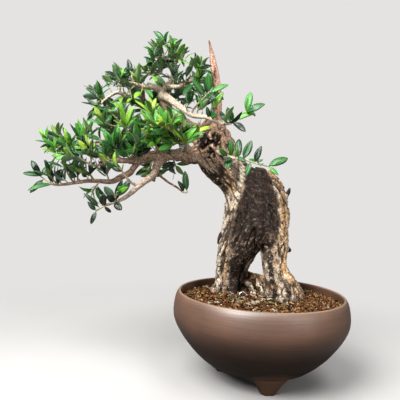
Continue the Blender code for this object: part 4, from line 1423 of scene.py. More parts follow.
@dataclass(frozen=True)
class MattFloor(Finish):
    """The studio's matt floor, which fades into the background with distance.

    The camera sees it pale; what it throws back on the object is darker.
    """

    name: str = "matt studio floor"
    background: str = "#e4e3e1"
    speckle_mm: float = 10 / 9
    fade_m: Row = (0.15, 0.6)

    def paint(self, tree: bpy.types.NodeTree) -> Settings:
        """Adds the finish's nodes and returns what feeds the shader.

        Args:
            tree: the material's node tree.

        Returns:
            The shader's inputs.
        """
        spot = add_node(tree, "TexCoord", {}, "Object")
        grain = add_node(tree, "TexNoise", {"size_mm": self.speckle_mm, "Detail": 2, "Vector": spot})
        pale = add_node(
            tree, "ValToRGB", {"stops": ((0.3, "#b4b2af"), (0.7, "#bab8b5")), "Fac": grain}
        )
        seen = add_node(tree, "LightPath", {}, "Is Camera Ray")
        far = add_node(tree, "VectorMath", {"operation": "LENGTH", 0: spot}, "Value")
        near, end = self.fade_m
        reach = {"interpolation_type": "SMOOTHSTEP", "From Min": near, "From Max": end, "Value": far}
        fade = add_node(tree, "MapRange", reach)
        share = add_node(tree, "Math", {"operation": "MULTIPLY", 0: fade, 1: seen})
        glow = add_node(tree, "Emission", {"Color": self.background, "Strength": 1.0})
        matt = tree.nodes["Principled BSDF"].outputs[0]
        faded = add_node(tree, "MixShader", {0: share, 1: matt, 2: glow})
        feed(tree.nodes["Material Output"], {"Surface": faded})
        colour = add_node(tree, "Mix", {**COLOURS, 0: seen, 6: "#6f6b67", 7: pale}, 2)
        return {"Base Color": colour, "Roughness": 0.9}


@dataclass
class Pot:
    """The bowl with its three feet, turned finer than the part's and of the same form."""

    sides: int = 256
    radius: float = 100.0
    widest_z: float = 70.5
    lip_radius: float = 94.0
    lip_z: float = 97.5
    base_radius: float = 59.5
    base_z: float = 20.0
    rounding: float = 1.25
    wall: float = 5.0
    floor_z: float = 25.5
    floor_radius: float = 53.0
    drain_radius: float = 9.0
    foot_azimuths: Row = (-83.0, 37.0, 157.0)
    # Foot: height, distance from the axis, half width along the ring, half depth across it.
    foot_rings: Path = (
        (0, 43, 7.6, 6.2), (1.6, 43, 8.9, 7.5), (10, 44.5, 13.4, 10), (18, 48, 19.2, 11),
        (25, 53, 20, 6),
    )
    # The lip's section as (radius, height), up its inside and over its top.
    lip: Path = (
        (93.4, 89.5), (92.6, 93), (91.9, 96.4), (91.9, 97.4), (92.3, 98), (93, 98.25), (93.8, 98.1),
        (94.4, 97.75),
    )
    outer_steps: int = 25
    lip_steps: int = 20
    throwing_ring_mm: float = 4.6
    ring_height: float = 0.22
    sharp_degrees: float = 38.0

    def profile(self) -> list[Row]:
        """The section of the wall as (radius, height), from the drain hole outside to inside.

        Returns:
            The closed section's corners.
        """
        outer = []
        for k in range(self.outer_steps):
            s = 1 - k / (self.outer_steps - 1)
            reach = (1 - s**self.rounding) ** (1 / self.rounding)
            radius = self.base_radius + (self.radius - self.base_radius) * reach
            outer.append((radius, self.widest_z - (self.widest_z - self.base_z) * s))
        for k in range(1, self.lip_steps + 1):
            a = math.radians(84 * k / self.lip_steps)
            radius = self.lip_radius + (self.radius - self.lip_radius) * math.cos(a)
            outer.append((radius, self.widest_z + (self.lip_z - self.widest_z) * math.sin(a)))
        rows = np.array(outer)
        for _ in range(16):
            rows[1:-1] = (rows[:-2] + 2 * rows[1:-1] + rows[2:]) / 4
        slope = np.gradient(rows, axis=0)
        slope /= np.linalg.norm(slope, axis=1, keepdims=True)
        inner = rows + np.stack([-slope[:, 1], slope[:, 0]], axis=1) * self.wall
        level = (self.floor_z + 2.5 < inner[:, 1]) & (rows[:, 1] < 86)
        rings = noise(rows[:, [1, 1, 1]] / self.throwing_ring_mm, 5, 3)
        ringed = rows[:, 0] - self.ring_height * rings
        inside = [tuple(row) for row in inner[level]] + list(self.lip)
        floor = [(self.floor_radius, self.floor_z), (self.drain_radius, self.floor_z)]
        outside = list(zip(ringed.tolist(), rows[:, 1].tolist()))
        return [(self.drain_radius, self.base_z), *outside, *reversed(inside), *floor]

    def foot_weight(self, spots: np.ndarray) -> np.ndarray:
        """How much each point of the pot belongs to a foot, whose clay fired paler.

        Args:
            spots: points in millimetres, one to a row.

        Returns:
            A weight from 0 to 1 for each point.
        """
        table = np.array(self.foot_rings)
        height = spots[:, 2]
        away, wide, deep = (np.interp(height, table[:, 0], table[:, k]) for k in (1, 2, 3))
        arch = 1 - smoothstep(24, 34, height)
        found = np.zeros(len(spots))
        for azimuth in self.foot_azimuths:
            a = math.radians(azimuth)
            out = spots[:, 0] * math.cos(a) + spots[:, 1] * math.sin(a) - away
            along = spots[:, 1] * math.cos(a) - spots[:, 0] * math.sin(a)
            reach = np.abs(along / (wide * (0.25 + 0.8 * arch))) ** 2.2
            near = smoothstep(-2.5, -1.5, out / deep) * (1 - smoothstep(10, 26, out - deep))
            found = np.maximum(found, (1 - smoothstep(0.5, 1.6, reach)) * near)
        return found * (1 - smoothstep(20, 36, height))

    def turn_bowl(self) -> bpy.types.Object:
        """Spins the profile into the closed bowl.

        Returns:
            The bowl.
        """
        work = bmesh.new()
        verts = [work.verts.new((r, 0, z)) for r, z in self.profile()]
        edges = [work.edges.new((a, b)) for a, b in zip(verts, verts[1:] + verts[:1])]
        turn = {"axis": (0, 0, 1), "cent": (0, 0, 0), "angle": math.tau, "use_merge": True}
        bmesh.ops.spin(work, geom=verts + edges, steps=self.sides, **turn)
        bmesh.ops.remove_doubles(work, verts=work.verts, dist=1e-4)
        bmesh.ops.recalc_face_normals(work, faces=work.faces)
        return to_object("bowl", work)

    def shape_foot(self, azimuth: float) -> bpy.types.Object:
        """A tapered nub that is pressed on to the underside.

        Args:
            azimuth: where the foot stands, in degrees from the x axis.

        Returns:
            The foot.
        """
        a = math.radians(azimuth)
        out = Vector((math.cos(a), math.sin(a), 0))
        along = Vector((-math.sin(a), math.cos(a), 0))

        def place(turn: float, way: float) -> Vector:
            """A point of the skin.

            Args:
                turn: how far round, as a share of a full turn.
                way: how far along, from 0 to 1.

            Returns:
                The point.
            """
            height, away, wide, deep = spline(self.foot_rings, way * (len(self.foot_rings) - 1))
            c, s = (
                math.copysign(abs(part) ** 0.8, part)
                for part in (math.cos(turn * math.tau), math.sin(turn * math.tau))
            )
            return out * (away + deep * c) + along * wide * s + Vector((0, 0, height))

        work = bmesh.new()
        skin(work, 25, 40, place)
        return to_object("foot", work)

    def build(self, finish: bpy.types.Material) -> bpy.types.Object:
        """Joins the feet to the bowl.

        Args:
            finish: the clay's material.

        Returns:
            The pot.
        """
        bowl = self.turn_bowl()
        feet = [self.shape_foot(a) for a in self.foot_azimuths]
        for foot in feet:
            step = bowl.modifiers.new("Join", "BOOLEAN")
            step.operation, step.solver, step.object = "UNION", "MANIFOLD", foot
        mesh = evaluated(bowl)
        for foot in feet:
            bpy.data.objects.remove(foot, do_unlink=True)
        spots = points_of(mesh) / MM - (SHIFT_X, 0, 0)
        value_points(mesh, "foot", self.foot_weight(spots))
        pot = finished("stoneware_pot", mesh, finish)
        mesh.set_sharp_from_angle(angle=math.radians(self.sharp_degrees))
        return pot


@dataclass
class SoilBed:
    """The gravel: a rough bed with loose grains on it and dry root threads."""

    level: float = 88.5
    heap: float = 5.0
    heap_radius: float = 46.0
    low: float = 28.0
    edge: float = 92.4
    spacing: float = 1.85
    grain_radius: Row = (0.6, 1.75)
    # How many of the grains have each colour, and how light they are.
    grain_tints: tuple[tuple[Tint, float], ...] = (
        (Tint.GRAIN_RUST, 0.47), (Tint.GRAIN_TAN, 0.23), (Tint.GRAIN_OCHRE, 0.08),
        (Tint.GRAIN_DARK, 0.18), (Tint.GRAIN_PALE, 0.02), (Tint.GRAIN_MOSS, 0.02),
    )
    grain_light: Row = (0.32, 0.8)
    thread_count: int = 105
    thread_tints: tuple[Tint, ...] = (Tint.LIMB_PALE, Tint.CREAM, Tint.GOLD, Tint.GRAIN_MOSS)

    def height(self, x: np.ndarray, y: np.ndarray) -> np.ndarray:
        """The level of the bed, heaped round the legs.

        Args:
            x: the places' x.
            y: the places' y.

        Returns:
            The levels.
        """
        reach = ((x - 2) ** 2 + (y - 12) ** 2) / self.heap_radius**2
        rough = noise(np.stack([x / 9, y / 9, 0 * x], axis=1), 3, 3) - 0.5
        return self.level + self.heap * np.exp(-reach) + 2.2 * rough

    def build_bed(self, finish: bpy.types.Material) -> bpy.types.Object:
        """The bed: a tall disc whose top is roughened and whose side follows the bowl.

        Args:
            finish: the material that it gets.

        Returns:
            The bed.
        """
        pot = Pot()
        wall = pot.profile()[pot.outer_steps + pot.lip_steps + 4 :]
        heights, radii = np.array(sorted((z, r) for r, z in wall if z < pot.lip_z - 4)).T
        side = 0.2

        def place(turn: float, way: float) -> Vector:
            """A point of the skin.

            Args:
                turn: how far round, as a share of a full turn.
                way: how far along, from 0 to 1.

            Returns:
                The point.
            """
            a = turn * math.tau
            z = self.low + (self.level - 4 - self.low) * min(1.0, way / side)
            radius = float(np.interp(z, heights, radii)) - 0.4
            if way > side:
                radius, z = self.edge * (1 - (way - side) / (1 - side)) + 0.3, self.level
            return Vector((radius * math.cos(a), radius * math.sin(a), z))

        work = bmesh.new()
        skin(work, 70, 120, place)
        made = to_object("gravel_bed", work, finish)
        spots = points_of(made.data) / MM - (SHIFT_X, 0, 0)
        top = spots[:, 2] > self.level - 1
        spots[top, 2] = self.height(spots[top, 0], spots[top, 1])
        made.data.vertices.foreach_set("co", in_metres(spots).ravel())
        colour_points(made.data, mix(Tint.GRAIN_DARK, Tint.GRAIN_RUST, noise(spots / 2.4, 8, 2)))
        return made

    def build_grains(self, finish: bpy.types.Material) -> bpy.types.Object:
        """Strews the loose grains, each a knocked-about icosahedron of one colour.

        Args:
            finish: the material that it gets.

        Returns:
            The grains, as one piece.
        """
        rng = np.random.default_rng(SEED)
        steps = np.arange(-self.edge, self.edge, self.spacing)
        x, y = (g.ravel() for g in np.meshgrid(steps, steps))
        x, y = (c + rng.uniform(-1.1, 1.1, len(c)) for c in (x, y))
        inside = np.hypot(x, y) < self.edge - 0.8
        x, y = x[inside], y[inside]
        count = len(x)
        small, large = self.grain_radius
        size = small + (large - small) * rng.random(count) ** 2.2
        z = self.height(x, y) + size * rng.uniform(0.0, 0.7, count)
        template = bmesh.new()
        bmesh.ops.create_icosphere(template, subdivisions=1, radius=1.0)
        base = np.array([v.co for v in template.verts])
        turn = rng.normal(size=(count, 3, 3))
        turn, _ = np.linalg.qr(turn)
        turn *= np.sign(np.linalg.det(turn))[:, None, None]
        stretch = rng.uniform(0.65, 1.25, (count, 1, 3))
        knocks = rng.uniform(0.75, 1.2, (count, len(base), 1))
        local = base[None] * knocks * stretch
        places = np.einsum("nij,nkj->nki", turn, local) * size[:, None, None]
        places += np.stack([x, y, z], axis=1)[:, None]
        mesh = mesh_copies("gravel_grains", template, places)
        palette = np.array([tint.rgb() for tint, _ in self.grain_tints])
        chosen = rng.choice(len(palette), count, p=[share for _, share in self.grain_tints])
        colours = palette[chosen] * rng.uniform(*self.grain_light, (count, 1))
        colour_points(mesh, np.repeat(np.clip(colours, 0, 1), len(base), axis=0))
        return finished("gravel_grains", mesh, finish, smooth=False)

    def build_threads(self, finish: bpy.types.Material) -> bpy.types.Object:
        """Dry root threads that lie on the gravel, most of them near the legs.

        Args:
            finish: the material that it gets.

        Returns:
            The threads, as one piece.
        """
        rng = random.Random(SEED + 1)
        work = bmesh.new()
        tones = []
        for _ in range(self.thread_count):
            near = rng.random() < 0.6
            x = rng.gauss(-16, 17) if near else rng.uniform(-78, 78)
            y = rng.gauss(-18, 13) if near else rng.uniform(-70, 60)
            if math.hypot(x, y) > self.edge - 12 or math.hypot(x + 21, y + 5) < 11:
                continue
            heading, radius = rng.uniform(0, math.tau), rng.uniform(0.35, 0.8)
            path = []
            for _ in range(4):
                z = float(self.height(np.array([x]), np.array([y]))[0]) + 2.4 + rng.uniform(-0.4, 1.6)
                path.append((x, y, z, radius))
                heading += rng.uniform(-0.9, 0.9)
                x += 2.2 * math.cos(heading)
                y += 2.2 * math.sin(heading)
            added = tube_skin(work, path, 5, 1)
            tone = rng.choice(self.thread_tints)
            tones += [tone.rgb() * rng.uniform(0.35, 0.8)] * added
        made = to_object("root_threads", work, finish)
        colour_points(made.data, np.array(tones))
        return made


def tube_skin(
    work: bmesh.types.BMesh, path: Path, sides: int, fine: int, collar: float = 0.0
) -> int:
    """Adds a smooth round tube along points of (x, y, z, radius).

    Args:
        work: the bmesh that it is added to.
        path: the points.
        sides: faces round the tube.
        fine: rings for each step of the path.
        collar: how much wider the tube is where it starts.

    Returns:
        How many vertices the tube has.
    """
    rings = (len(path) - 1) * fine + 1
    rows = [tuple(spline(path, k / fine)) for k in range(rings)]
    frames = path_frames(rows)

    def place(turn: float, way: float) -> Vector:
        """A point of the skin.

        Args:
            turn: how far round, as a share of a full turn.
            way: how far along, from 0 to 1.

        Returns:
            The point.
        """
        k = round(way * (rings - 1))
        radius = max(rows[k][3], 0.2) * (1 + collar * math.exp(-k / fine * 3.5))
        return Vector(rows[k][:3]) + square_to(*frames[k], turn * math.tau) * radius

    return skin(work, rings, sides, place)


@dataclass
class FixingWire:
    """The bent pin of bare wire in the gravel."""

    radius: float = 0.8
    at: Row = (-21.0, -5.0)
    span: float = 4.2
    top_z: float = 98.5
    end_z: float = 62.0

    def build(self, finish: bpy.types.Material) -> bpy.types.Object:
        """The wire as one round tube along its arch.

        Args:
            finish: the material that it gets.

        Returns:
            The wire.
        """
        x, y = self.at
        spring = self.top_z - self.span - self.radius
        path = [(x - self.span, y, self.end_z, self.radius)]
        for a in np.linspace(math.pi, 0, 13):
            across, up = self.span * math.cos(a), self.span * math.sin(a)
            path.append((x + across, y, spring + up, self.radius))
        path.append((x + self.span, y, self.end_z, self.radius))
        work = bmesh.new()
        tube_skin(work, path, 16, 2)
        return to_object("fixing_wire_loop", work, finish)


@dataclass(frozen=True)
class Stroke:
    """A band of one colour on the trunk: its line as (x, z), half width and strength."""

    tint: Tint
    half_width: float
    strength: float
    line: tuple[Row, ...]
    behind: bool = False

    def weight(self, spots: np.ndarray, facing: np.ndarray, wobble: np.ndarray) -> np.ndarray:
        """How much of the band's colour each point takes.

        Args:
            spots: the points in millimetres.
            facing: how much each point's normal turns to the front, -1 to 1.
            wobble: noise from 0 to 1 that frays the band's edge.

        Returns:
            A weight from 0 to 1 for each point.
        """
        flat = spots[:, [0, 2]]
        nearest = np.full(len(flat), 1e9)
        for a, b in zip(self.line, self.line[1:]):
            start, step = np.array(a), np.array(b) - np.array(a)
            t = np.clip((flat - start) @ step / (step @ step), 0, 1)
            nearest = np.minimum(nearest, np.linalg.norm(flat - start - t[:, None] * step, axis=1))
        edge = nearest / self.half_width + (wobble - 0.5) * 0.9
        seen = smoothstep(-0.1, 0.35, -facing if self.behind else facing)
        return self.strength * (1 - smoothstep(0.6, 1.15, edge)) * seen


@dataclass
class Trunk:
    """The two legs, the slab, the knot with its hollow and the dead spike, as weathered wood."""

    voxel: float = 1.0
    # The charred panel's edges on the front as (height, x on the left, x on the right).
    panel: tuple[Row, ...] = (
        (93, -37, -13), (110, -37, -14), (122, -36.5, -17), (130, -37, -24), (137, -38, -2),
        (146, -38, 6), (158, -38.5, 13), (174, -36.5, 18), (187, -33.5, 16.5), (203, -30, 14),
        (217, -25.5, 10.5), (234, -24.5, 5), (244, -25, -2),
    )
    strokes: tuple[Stroke, ...] = (
        Stroke(Tint.BARK_MID, 10.0, 0.85, ((-72, 244), (-55, 234), (-44, 222), (-40, 212))),
        Stroke(Tint.BARK_PALE, 4.5, 0.85, ((-76, 246), (-66, 240), (-58, 238))),
        Stroke(Tint.BARK_DARK, 6.0, 0.6, ((-50, 250), (-38, 240), (-34, 228))),
        # Painted shade: the dark underside of the neck.
        Stroke(Tint.BARK_DARK, 4.5, 0.95, ((-84, 242), (-70, 234), (-57, 226), (-47, 214))),
        Stroke(Tint.CHAR, 5.0, 0.9, ((-60, 246), (-53, 239), (-47, 228))),
        Stroke(Tint.GOLD, 4.5, 0.6, ((-45, 232), (-39, 223), (-39, 213))),
        Stroke(Tint.CREAM, 3.0, 0.9, ((-28, 240), (-27.5, 229), (-29.5, 220))),
        Stroke(Tint.CREAM, 4.0, 0.95, ((-32, 209), (-35, 200), (-40, 191))),
        Stroke(Tint.BARK_PALE, 6.5, 0.75, ((-40, 206), (-42, 182), (-44, 158), (-46, 126), (-46, 94))),
        Stroke(Tint.FLAKE, 2.6, 0.85, ((-42, 204), (-43.7, 188), (-45, 175), (-45.5, 158))),
        Stroke(Tint.FLAKE, 3.0, 0.85, ((-45.5, 150), (-47, 126), (-48, 110), (-46.5, 95))),
        Stroke(Tint.GOLD, 3.0, 0.65, ((-42, 150), (-42, 132), (-42.5, 114), (-41, 104))),
        Stroke(Tint.CHAR, 2.4, 0.9, ((-50.5, 168), (-51.5, 155), (-53.5, 140), (-54, 126))),
        Stroke(Tint.BARK_TAN, 5.0, 0.55, ((-35, 158), (-22, 162), (-10, 158), (4, 158))),
        Stroke(Tint.FLAKE, 4.0, 0.75, ((-11, 150), (-15, 142), (-21, 134))),
        Stroke(Tint.CHAR, 8.0, 1.0, ((-23, 128), (-27, 117), (-27, 98), (-27, 90))),
        Stroke(Tint.BARK_PALE, 5.5, 0.7, ((0.5, 152), (4, 138), (5.5, 125), (5, 112), (6, 96))),
        Stroke(Tint.CHAR, 3.2, 0.95, ((8, 140), (8.5, 130), (11, 116), (14, 104), (15, 92))),
        Stroke(Tint.CREAM, 3.4, 0.95, ((15.5, 197), (16.5, 184), (18.5, 170))),
        Stroke(Tint.GOLD, 6.0, 0.85, ((20, 203), (22, 184), (21.5, 168), (21, 150), (21, 126))),
        Stroke(Tint.BARK_PALE, 3.6, 0.7, ((20, 160), (18, 145), (18, 129), (20, 113), (22, 103))),
        Stroke(Tint.GOLD, 3.6, 0.8, ((24, 129), (30, 118), (38, 107), (48, 94))),
        Stroke(Tint.BARK_DARK, 4.0, 0.6, ((27, 108), (30, 92))),
        Stroke(Tint.FLAKE, 2.6, 0.75, ((9, 222), (13, 215), (15, 207))),
        Stroke(Tint.BARK_TAN, 4.0, 0.7, ((17, 222), (21, 208), (22, 200))),
        Stroke(Tint.DEADWOOD, 6.0, 0.85, ((-49, 274), (-49, 284), (-60, 288))),
        Stroke(Tint.FLAKE, 4.0, 0.75, ((-82, 248), (-68, 248), (-55, 252), (-42, 250))),
        Stroke(Tint.BARK_DARK, 3.0, 0.8, ((-56, 268), (-46, 262), (-42, 256))),
        Stroke(Tint.GRAIN_TAN, 5.0, 0.7, ((-12, 112), (0, 110), (10, 106))),
        Stroke(Tint.CREAM, 2.6, 0.9, ((-14, 104), (-8, 98), (-7, 90))),
        Stroke(Tint.CREAM, 2.2, 0.7, ((1, 106), (2, 98), (3, 90))),
        Stroke(Tint.GOLD, 5.0, 0.5, ((30, 100), (24, 130), (26, 180)), behind=True),
        Stroke(Tint.CHAR, 7.0, 0.7, ((-4, 150), (-6, 200), (-22, 228)), behind=True),
        Stroke(Tint.BARK_PALE, 6.0, 0.6, ((-46, 150), (-44, 190), (-34, 216)), behind=True),
        Stroke(Tint.CHAR, 4.0, 0.6, ((-34, 96), (-30, 140)), behind=True),
    )

    def rough_shape(self) -> bpy.types.Object:
        """The strands, panel, knot, roots and limb roots as one heap of closed tubes.

        Returns:
            The heap.
        """
        work = bmesh.new()
        for rings in (LEFT_STRAND, RIGHT_STRAND, FRONT_PANEL):
            self.add_strand(work, rings, 3)
        self.add_ball(work, KNOT_AT, KNOT_RADII)
        for name, (_, path) in GROWTHS.items():
            thick = [p for p in path if p[3] >= 2.4]
            if name in LIMB_TINTS and name not in ("low", "upper"):
                thick = thick[:2] if path[0][3] > 4 else []
            if len(thick) > 1:
                tube_skin(work, thick, 14, 5)
        return self.helper("trunk_rough", work)

    @staticmethod
    def helper(name: str, work: bmesh.types.BMesh) -> bpy.types.Object:
        """An object in millimetres, of a bmesh that is freed, which isn't kept.

        Args:
            name: the object's name.
            work: the bmesh, which is used up.

        Returns:
            The object.
        """
        mesh = bpy.data.meshes.new(name)
        work.to_mesh(mesh)
        work.free()
        return link_object(name, mesh)

    @staticmethod
    def add_ball(work: bmesh.types.BMesh, at: Row, radii: Row) -> None:
        """Adds an ellipsoid."""
        for vert in bmesh.ops.create_icosphere(work, subdivisions=4, radius=1.0)["verts"]:
            vert.co = Vector(at) + Vector(c * r for c, r in zip(vert.co, radii))

    def add_strand(self, work: bmesh.types.BMesh, rings: Path, fine: int) -> None:
        """Adds one ridged oval strand, drawn finer than the part's.

        Args:
            work: the bmesh that it is added to.
            rings: the strand's rings.
            fine: how many rings are drawn for each of them.
        """
        count = (len(rings) - 1) * fine + 1
        rows = [spline(rings, k / fine) for k in range(count)]
        centres = [Vector(r[:3]) for r in rows]

        def place(turn: float, way: float) -> Vector:
            """A point of the skin.

            Args:
                turn: how far round, as a share of a full turn.
                way: how far along, from 0 to 1.

            Returns:
                The point.
            """
            k = round(way * (count - 1))
            ahead = (centres[min(k + 1, count - 1)] - centres[max(k - 1, 0)]).normalized()
            row = rows[k].copy()
            row[3:] = np.maximum(row[3:] * 1.02, 0.5)
            return strand_point(row, ahead, k / fine, turn * math.tau)

        skin(work, count, 72, place)

    def carve(self, rough: bpy.types.Object) -> bpy.types.Mesh:
        """Melts the heap into one skin, cuts the hollow and softens the joins.

        Args:
            rough: the heap, which is used up.

        Returns:
            The trunk's mesh, in millimetres.
        """
        cutter = bmesh.new()
        self.add_ball(cutter, HOLLOW_AT, HOLLOW_RADII)
        hollow = self.helper("hollow", cutter)
        for name in ("Melt", "Cut", "Even"):
            step = rough.modifiers.new(name, "BOOLEAN" if name == "Cut" else "REMESH")
            if name == "Cut":
                step.operation, step.solver, step.object = "DIFFERENCE", "MANIFOLD", hollow
            else:
                step.mode, step.voxel_size = "VOXEL", self.voxel
        soften = rough.modifiers.new("Soften", "SMOOTH")
        soften.factor, soften.iterations = 0.5, 4
        mesh = evaluated(rough)
        bpy.data.objects.remove(hollow, do_unlink=True)
        return mesh

    def wood_coordinates(self, spots: np.ndarray) -> np.ndarray:
        """Straightens the trunk, so that a pattern stretched along z follows its fibres.

        Args:
            spots: points in millimetres, one to a row.

        Returns:
            The same points, straightened.
        """
        left, right = np.array(LEFT_STRAND), np.array(RIGHT_STRAND)
        z = spots[:, 2]
        to_left = np.stack([np.interp(z, left[:, 2], left[:, k]) for k in (0, 1)], axis=1)
        to_right = np.stack([np.interp(z, right[:, 2], right[:, k]) for k in (0, 1)], axis=1)
        share = smoothstep(-12, 12, spots[:, 0] - (to_left + to_right)[:, 0] / 2)
        share *= 1 - smoothstep(150, 240, z)
        centre = to_left * (1 - share[:, None]) + to_right * share[:, None]
        return np.concatenate([spots[:, :2] - centre, z[:, None]], axis=1)

    def panel_weight(self, spots: np.ndarray, facing: np.ndarray, wobble: np.ndarray) -> np.ndarray:
        """How much each point belongs to the charred panel on the front.

        Args:
            spots: points in millimetres, one to a row.
            facing: how far each one faces the front.
            wobble: noise for each one, which frays the edge.

        Returns:
            A weight from 0 to 1 for each point.
        """
        table = np.array(self.panel)
        z = spots[:, 2]
        x = spots[:, 0] + (wobble - 0.5) * 7
        low = np.interp(z, table[:, 0], table[:, 1])
        high = np.interp(z, table[:, 0], table[:, 2])
        inside = smoothstep(-1.5, 2.0, x - low) * smoothstep(-1.5, 2.0, high - x)
        ends = smoothstep(84, 92, z) * (1 - smoothstep(243, 252, z))
        return inside * ends * smoothstep(-0.15, 0.2, facing)

    def weather(self, mesh: bpy.types.Mesh) -> np.ndarray:
        """Works bark, char and rot into the surface, with painted shade in its cracks and its hollow.

        Args:
            mesh: the trunk's mesh in millimetres, which is moved.

        Returns:
            The linear colour of each point.
        """
        spots = points_of(mesh)
        normals = normals_of(mesh)
        facing = -normals[:, 1]
        wood = self.wood_coordinates(spots)
        wobble = noise(spots / 6, 17, 3)
        panel = self.panel_weight(spots, facing, wobble)
        spike = smoothstep(282, 296, spots[:, 2])
        around = (spots - (-69.0, -15.0, 265.0)) / (16.5, 13, 18.5)
        reach = np.linalg.norm(around, axis=1) + (noise(spots / 7, 19, 2) - 0.5) * 1.1
        rot = 1 - smoothstep(0.8, 1.0, reach)
        rim = smoothstep(0.8, 0.95, reach) * (1 - smoothstep(1.15, 1.6, reach))
        underground = 1 - smoothstep(84, 90, spots[:, 2])

        plates = ridged(wood / (4.2, 4.2, 11), 3, 3)
        wide_cracks, fine_cracks = ridged(wood / (7, 7, 30), 11, 3), ridged(wood / (4, 4, 13), 13, 2)
        fissure = smoothstep(0.84, 0.95, np.maximum(wide_cracks, fine_cracks - 0.06))
        fibres = ridged(wood / (2.3, 2.3, 30), 23, 2)
        chips = np.clip(noise(spots / (2.6, 2.6, 3.6), 29, 3) * 1.9 - 0.45, 0, 1)
        crumbs = noise(spots / 2.1, 31, 2)
        twist = np.arctan2(wood[:, 1], wood[:, 0])
        wound = np.stack([twist * 1.6 + wood[:, 2] / 42, wood[:, 2] / 60, 0 * twist], 1)
        spiral = ridged(wound, 37, 3)

        lumps = noise(spots / 9, 15, 2) - 0.5
        bark = 1.4 * plates - 1.9 * fissure + 1.2 * crumbs - 0.8 + 1.8 * lumps
        split = smoothstep(0.88, 0.97, ridged(wood / (11, 11, 55), 41, 2))
        char = 0.5 * fibres + 1.1 * crumbs - 0.6 - 2.0 * split
        lift = bark * (1 - panel) + char * panel
        lift = lift * (1 - spike) + (1.0 * spiral - 0.6) * spike
        lift = lift * (1 - rot) + (4.5 * chips + 1.6 * crumbs - 3.6) * rot
        lift += 1.8 * lumps * smoothstep(238, 252, spots[:, 2]) * (1 - spike)
        lift *= 1 - 0.8 * underground
        moved = spots + normals * lift[:, None]
        mesh.vertices.foreach_set("co", moved.ravel())

        broad = noise(wood / (7, 7, 18), 43, 3)
        shade = smoothstep(0.3, 0.62, broad) * 0.6 + 0.4 * smoothstep(0.4, 0.8, plates)
        colour = mix(Tint.BARK_MID, Tint.BARK_PALE, shade)
        tan = smoothstep(0.55, 0.7, noise(spots / 11, 45, 2))
        colour = mix(colour, Tint.BARK_TAN, 0.7 * tan)
        for stroke in self.strokes:
            colour = mix(colour, stroke.tint, stroke.weight(spots, facing, wobble))
        flecks = smoothstep(0.62, 0.76, noise(spots / 1.9, 47, 2))
        colour = mix(colour, Tint.FLAKE, 0.6 * flecks)
        stains = smoothstep(0.56, 0.72, noise(wood / (2.3, 2.3, 4.5), 49, 2))
        colour = mix(colour, Tint.BARK_DARK, 0.7 * stains)
        grains = smoothstep(0.42, 0.72, noise(wood / (1.8, 1.8, 3.4), 51, 2))
        dark = mix(Tint.CHAR, Tint.CHAR_FIBRE, 0.25 * fibres + 0.75 * grains)
        mottled = 0.16 + 0.6 * (1 - smoothstep(8, 26, np.abs(spots[:, 2] - 147)))
        specks = smoothstep(0.58, 0.72, noise(wood / (1.6, 1.6, 3), 53, 2)) * mottled
        dark = mix(dark, Tint.CHAR_SPECK, specks)
        # Painted shade: the splits in the char are darkened.
        dark = mix(dark, Tint.CHAR.rgb() * 0.5, 0.8 * split)
        white = smoothstep(0.72, 0.82, noise(wood / (1.4, 1.4, 2.6), 59, 2)) * (0.1 + 0.7 * mottled)
        dark = mix(dark, Tint.FLAKE, np.clip(white, 0, 1))
        colour = mix(colour, dark, panel * (0.97 - 0.25 * mottled * tan))
        # Painted shade: the cracks in the bark are darkened.
        colour = mix(colour, Tint.BARK_DARK.rgb() * 0.6, fissure * 0.9 * (1 - panel))
        hole_rim = mix(Tint.DEADWOOD, Tint.BARK_TAN, crumbs)
        colour = mix(colour, hole_rim, rim * 0.6 * (1 - fissure))
        streaks = 1 - smoothstep(0.35, 0.75, spiral)
        colour = mix(colour, mix(Tint.DEADWOOD, Tint.DEADWOOD_DARK, streaks), spike)
        # The hollow is rotten wood with painted shade: near black, with chips that dim towards its middle.
        lit = smoothstep(0.45, 0.8, chips) * (0.35 + 0.65 * smoothstep(0.2, 0.6, reach))
        colour = mix(colour, mix(Tint.ROT, Tint.ROT_CHIP, lit), rot)
        damp = 1 - smoothstep(88, 97, spots[:, 2] + (wobble - 0.5) * 6)
        return mix(colour, Tint.GRAIN_DARK, 0.6 * damp)

    def build(self, finish: bpy.types.Material) -> bpy.types.Object:
        """Models, weathers and paints the trunk.

        Args:
            finish: the wood's material.

        Returns:
            The trunk.
        """
        mesh = self.carve(self.rough_shape())
        colours = self.weather(mesh)
        mesh.vertices.foreach_set("co", in_metres(points_of(mesh)).ravel())
        colour_points(mesh, colours)
        return finished("trunk_wood", mesh, finish)


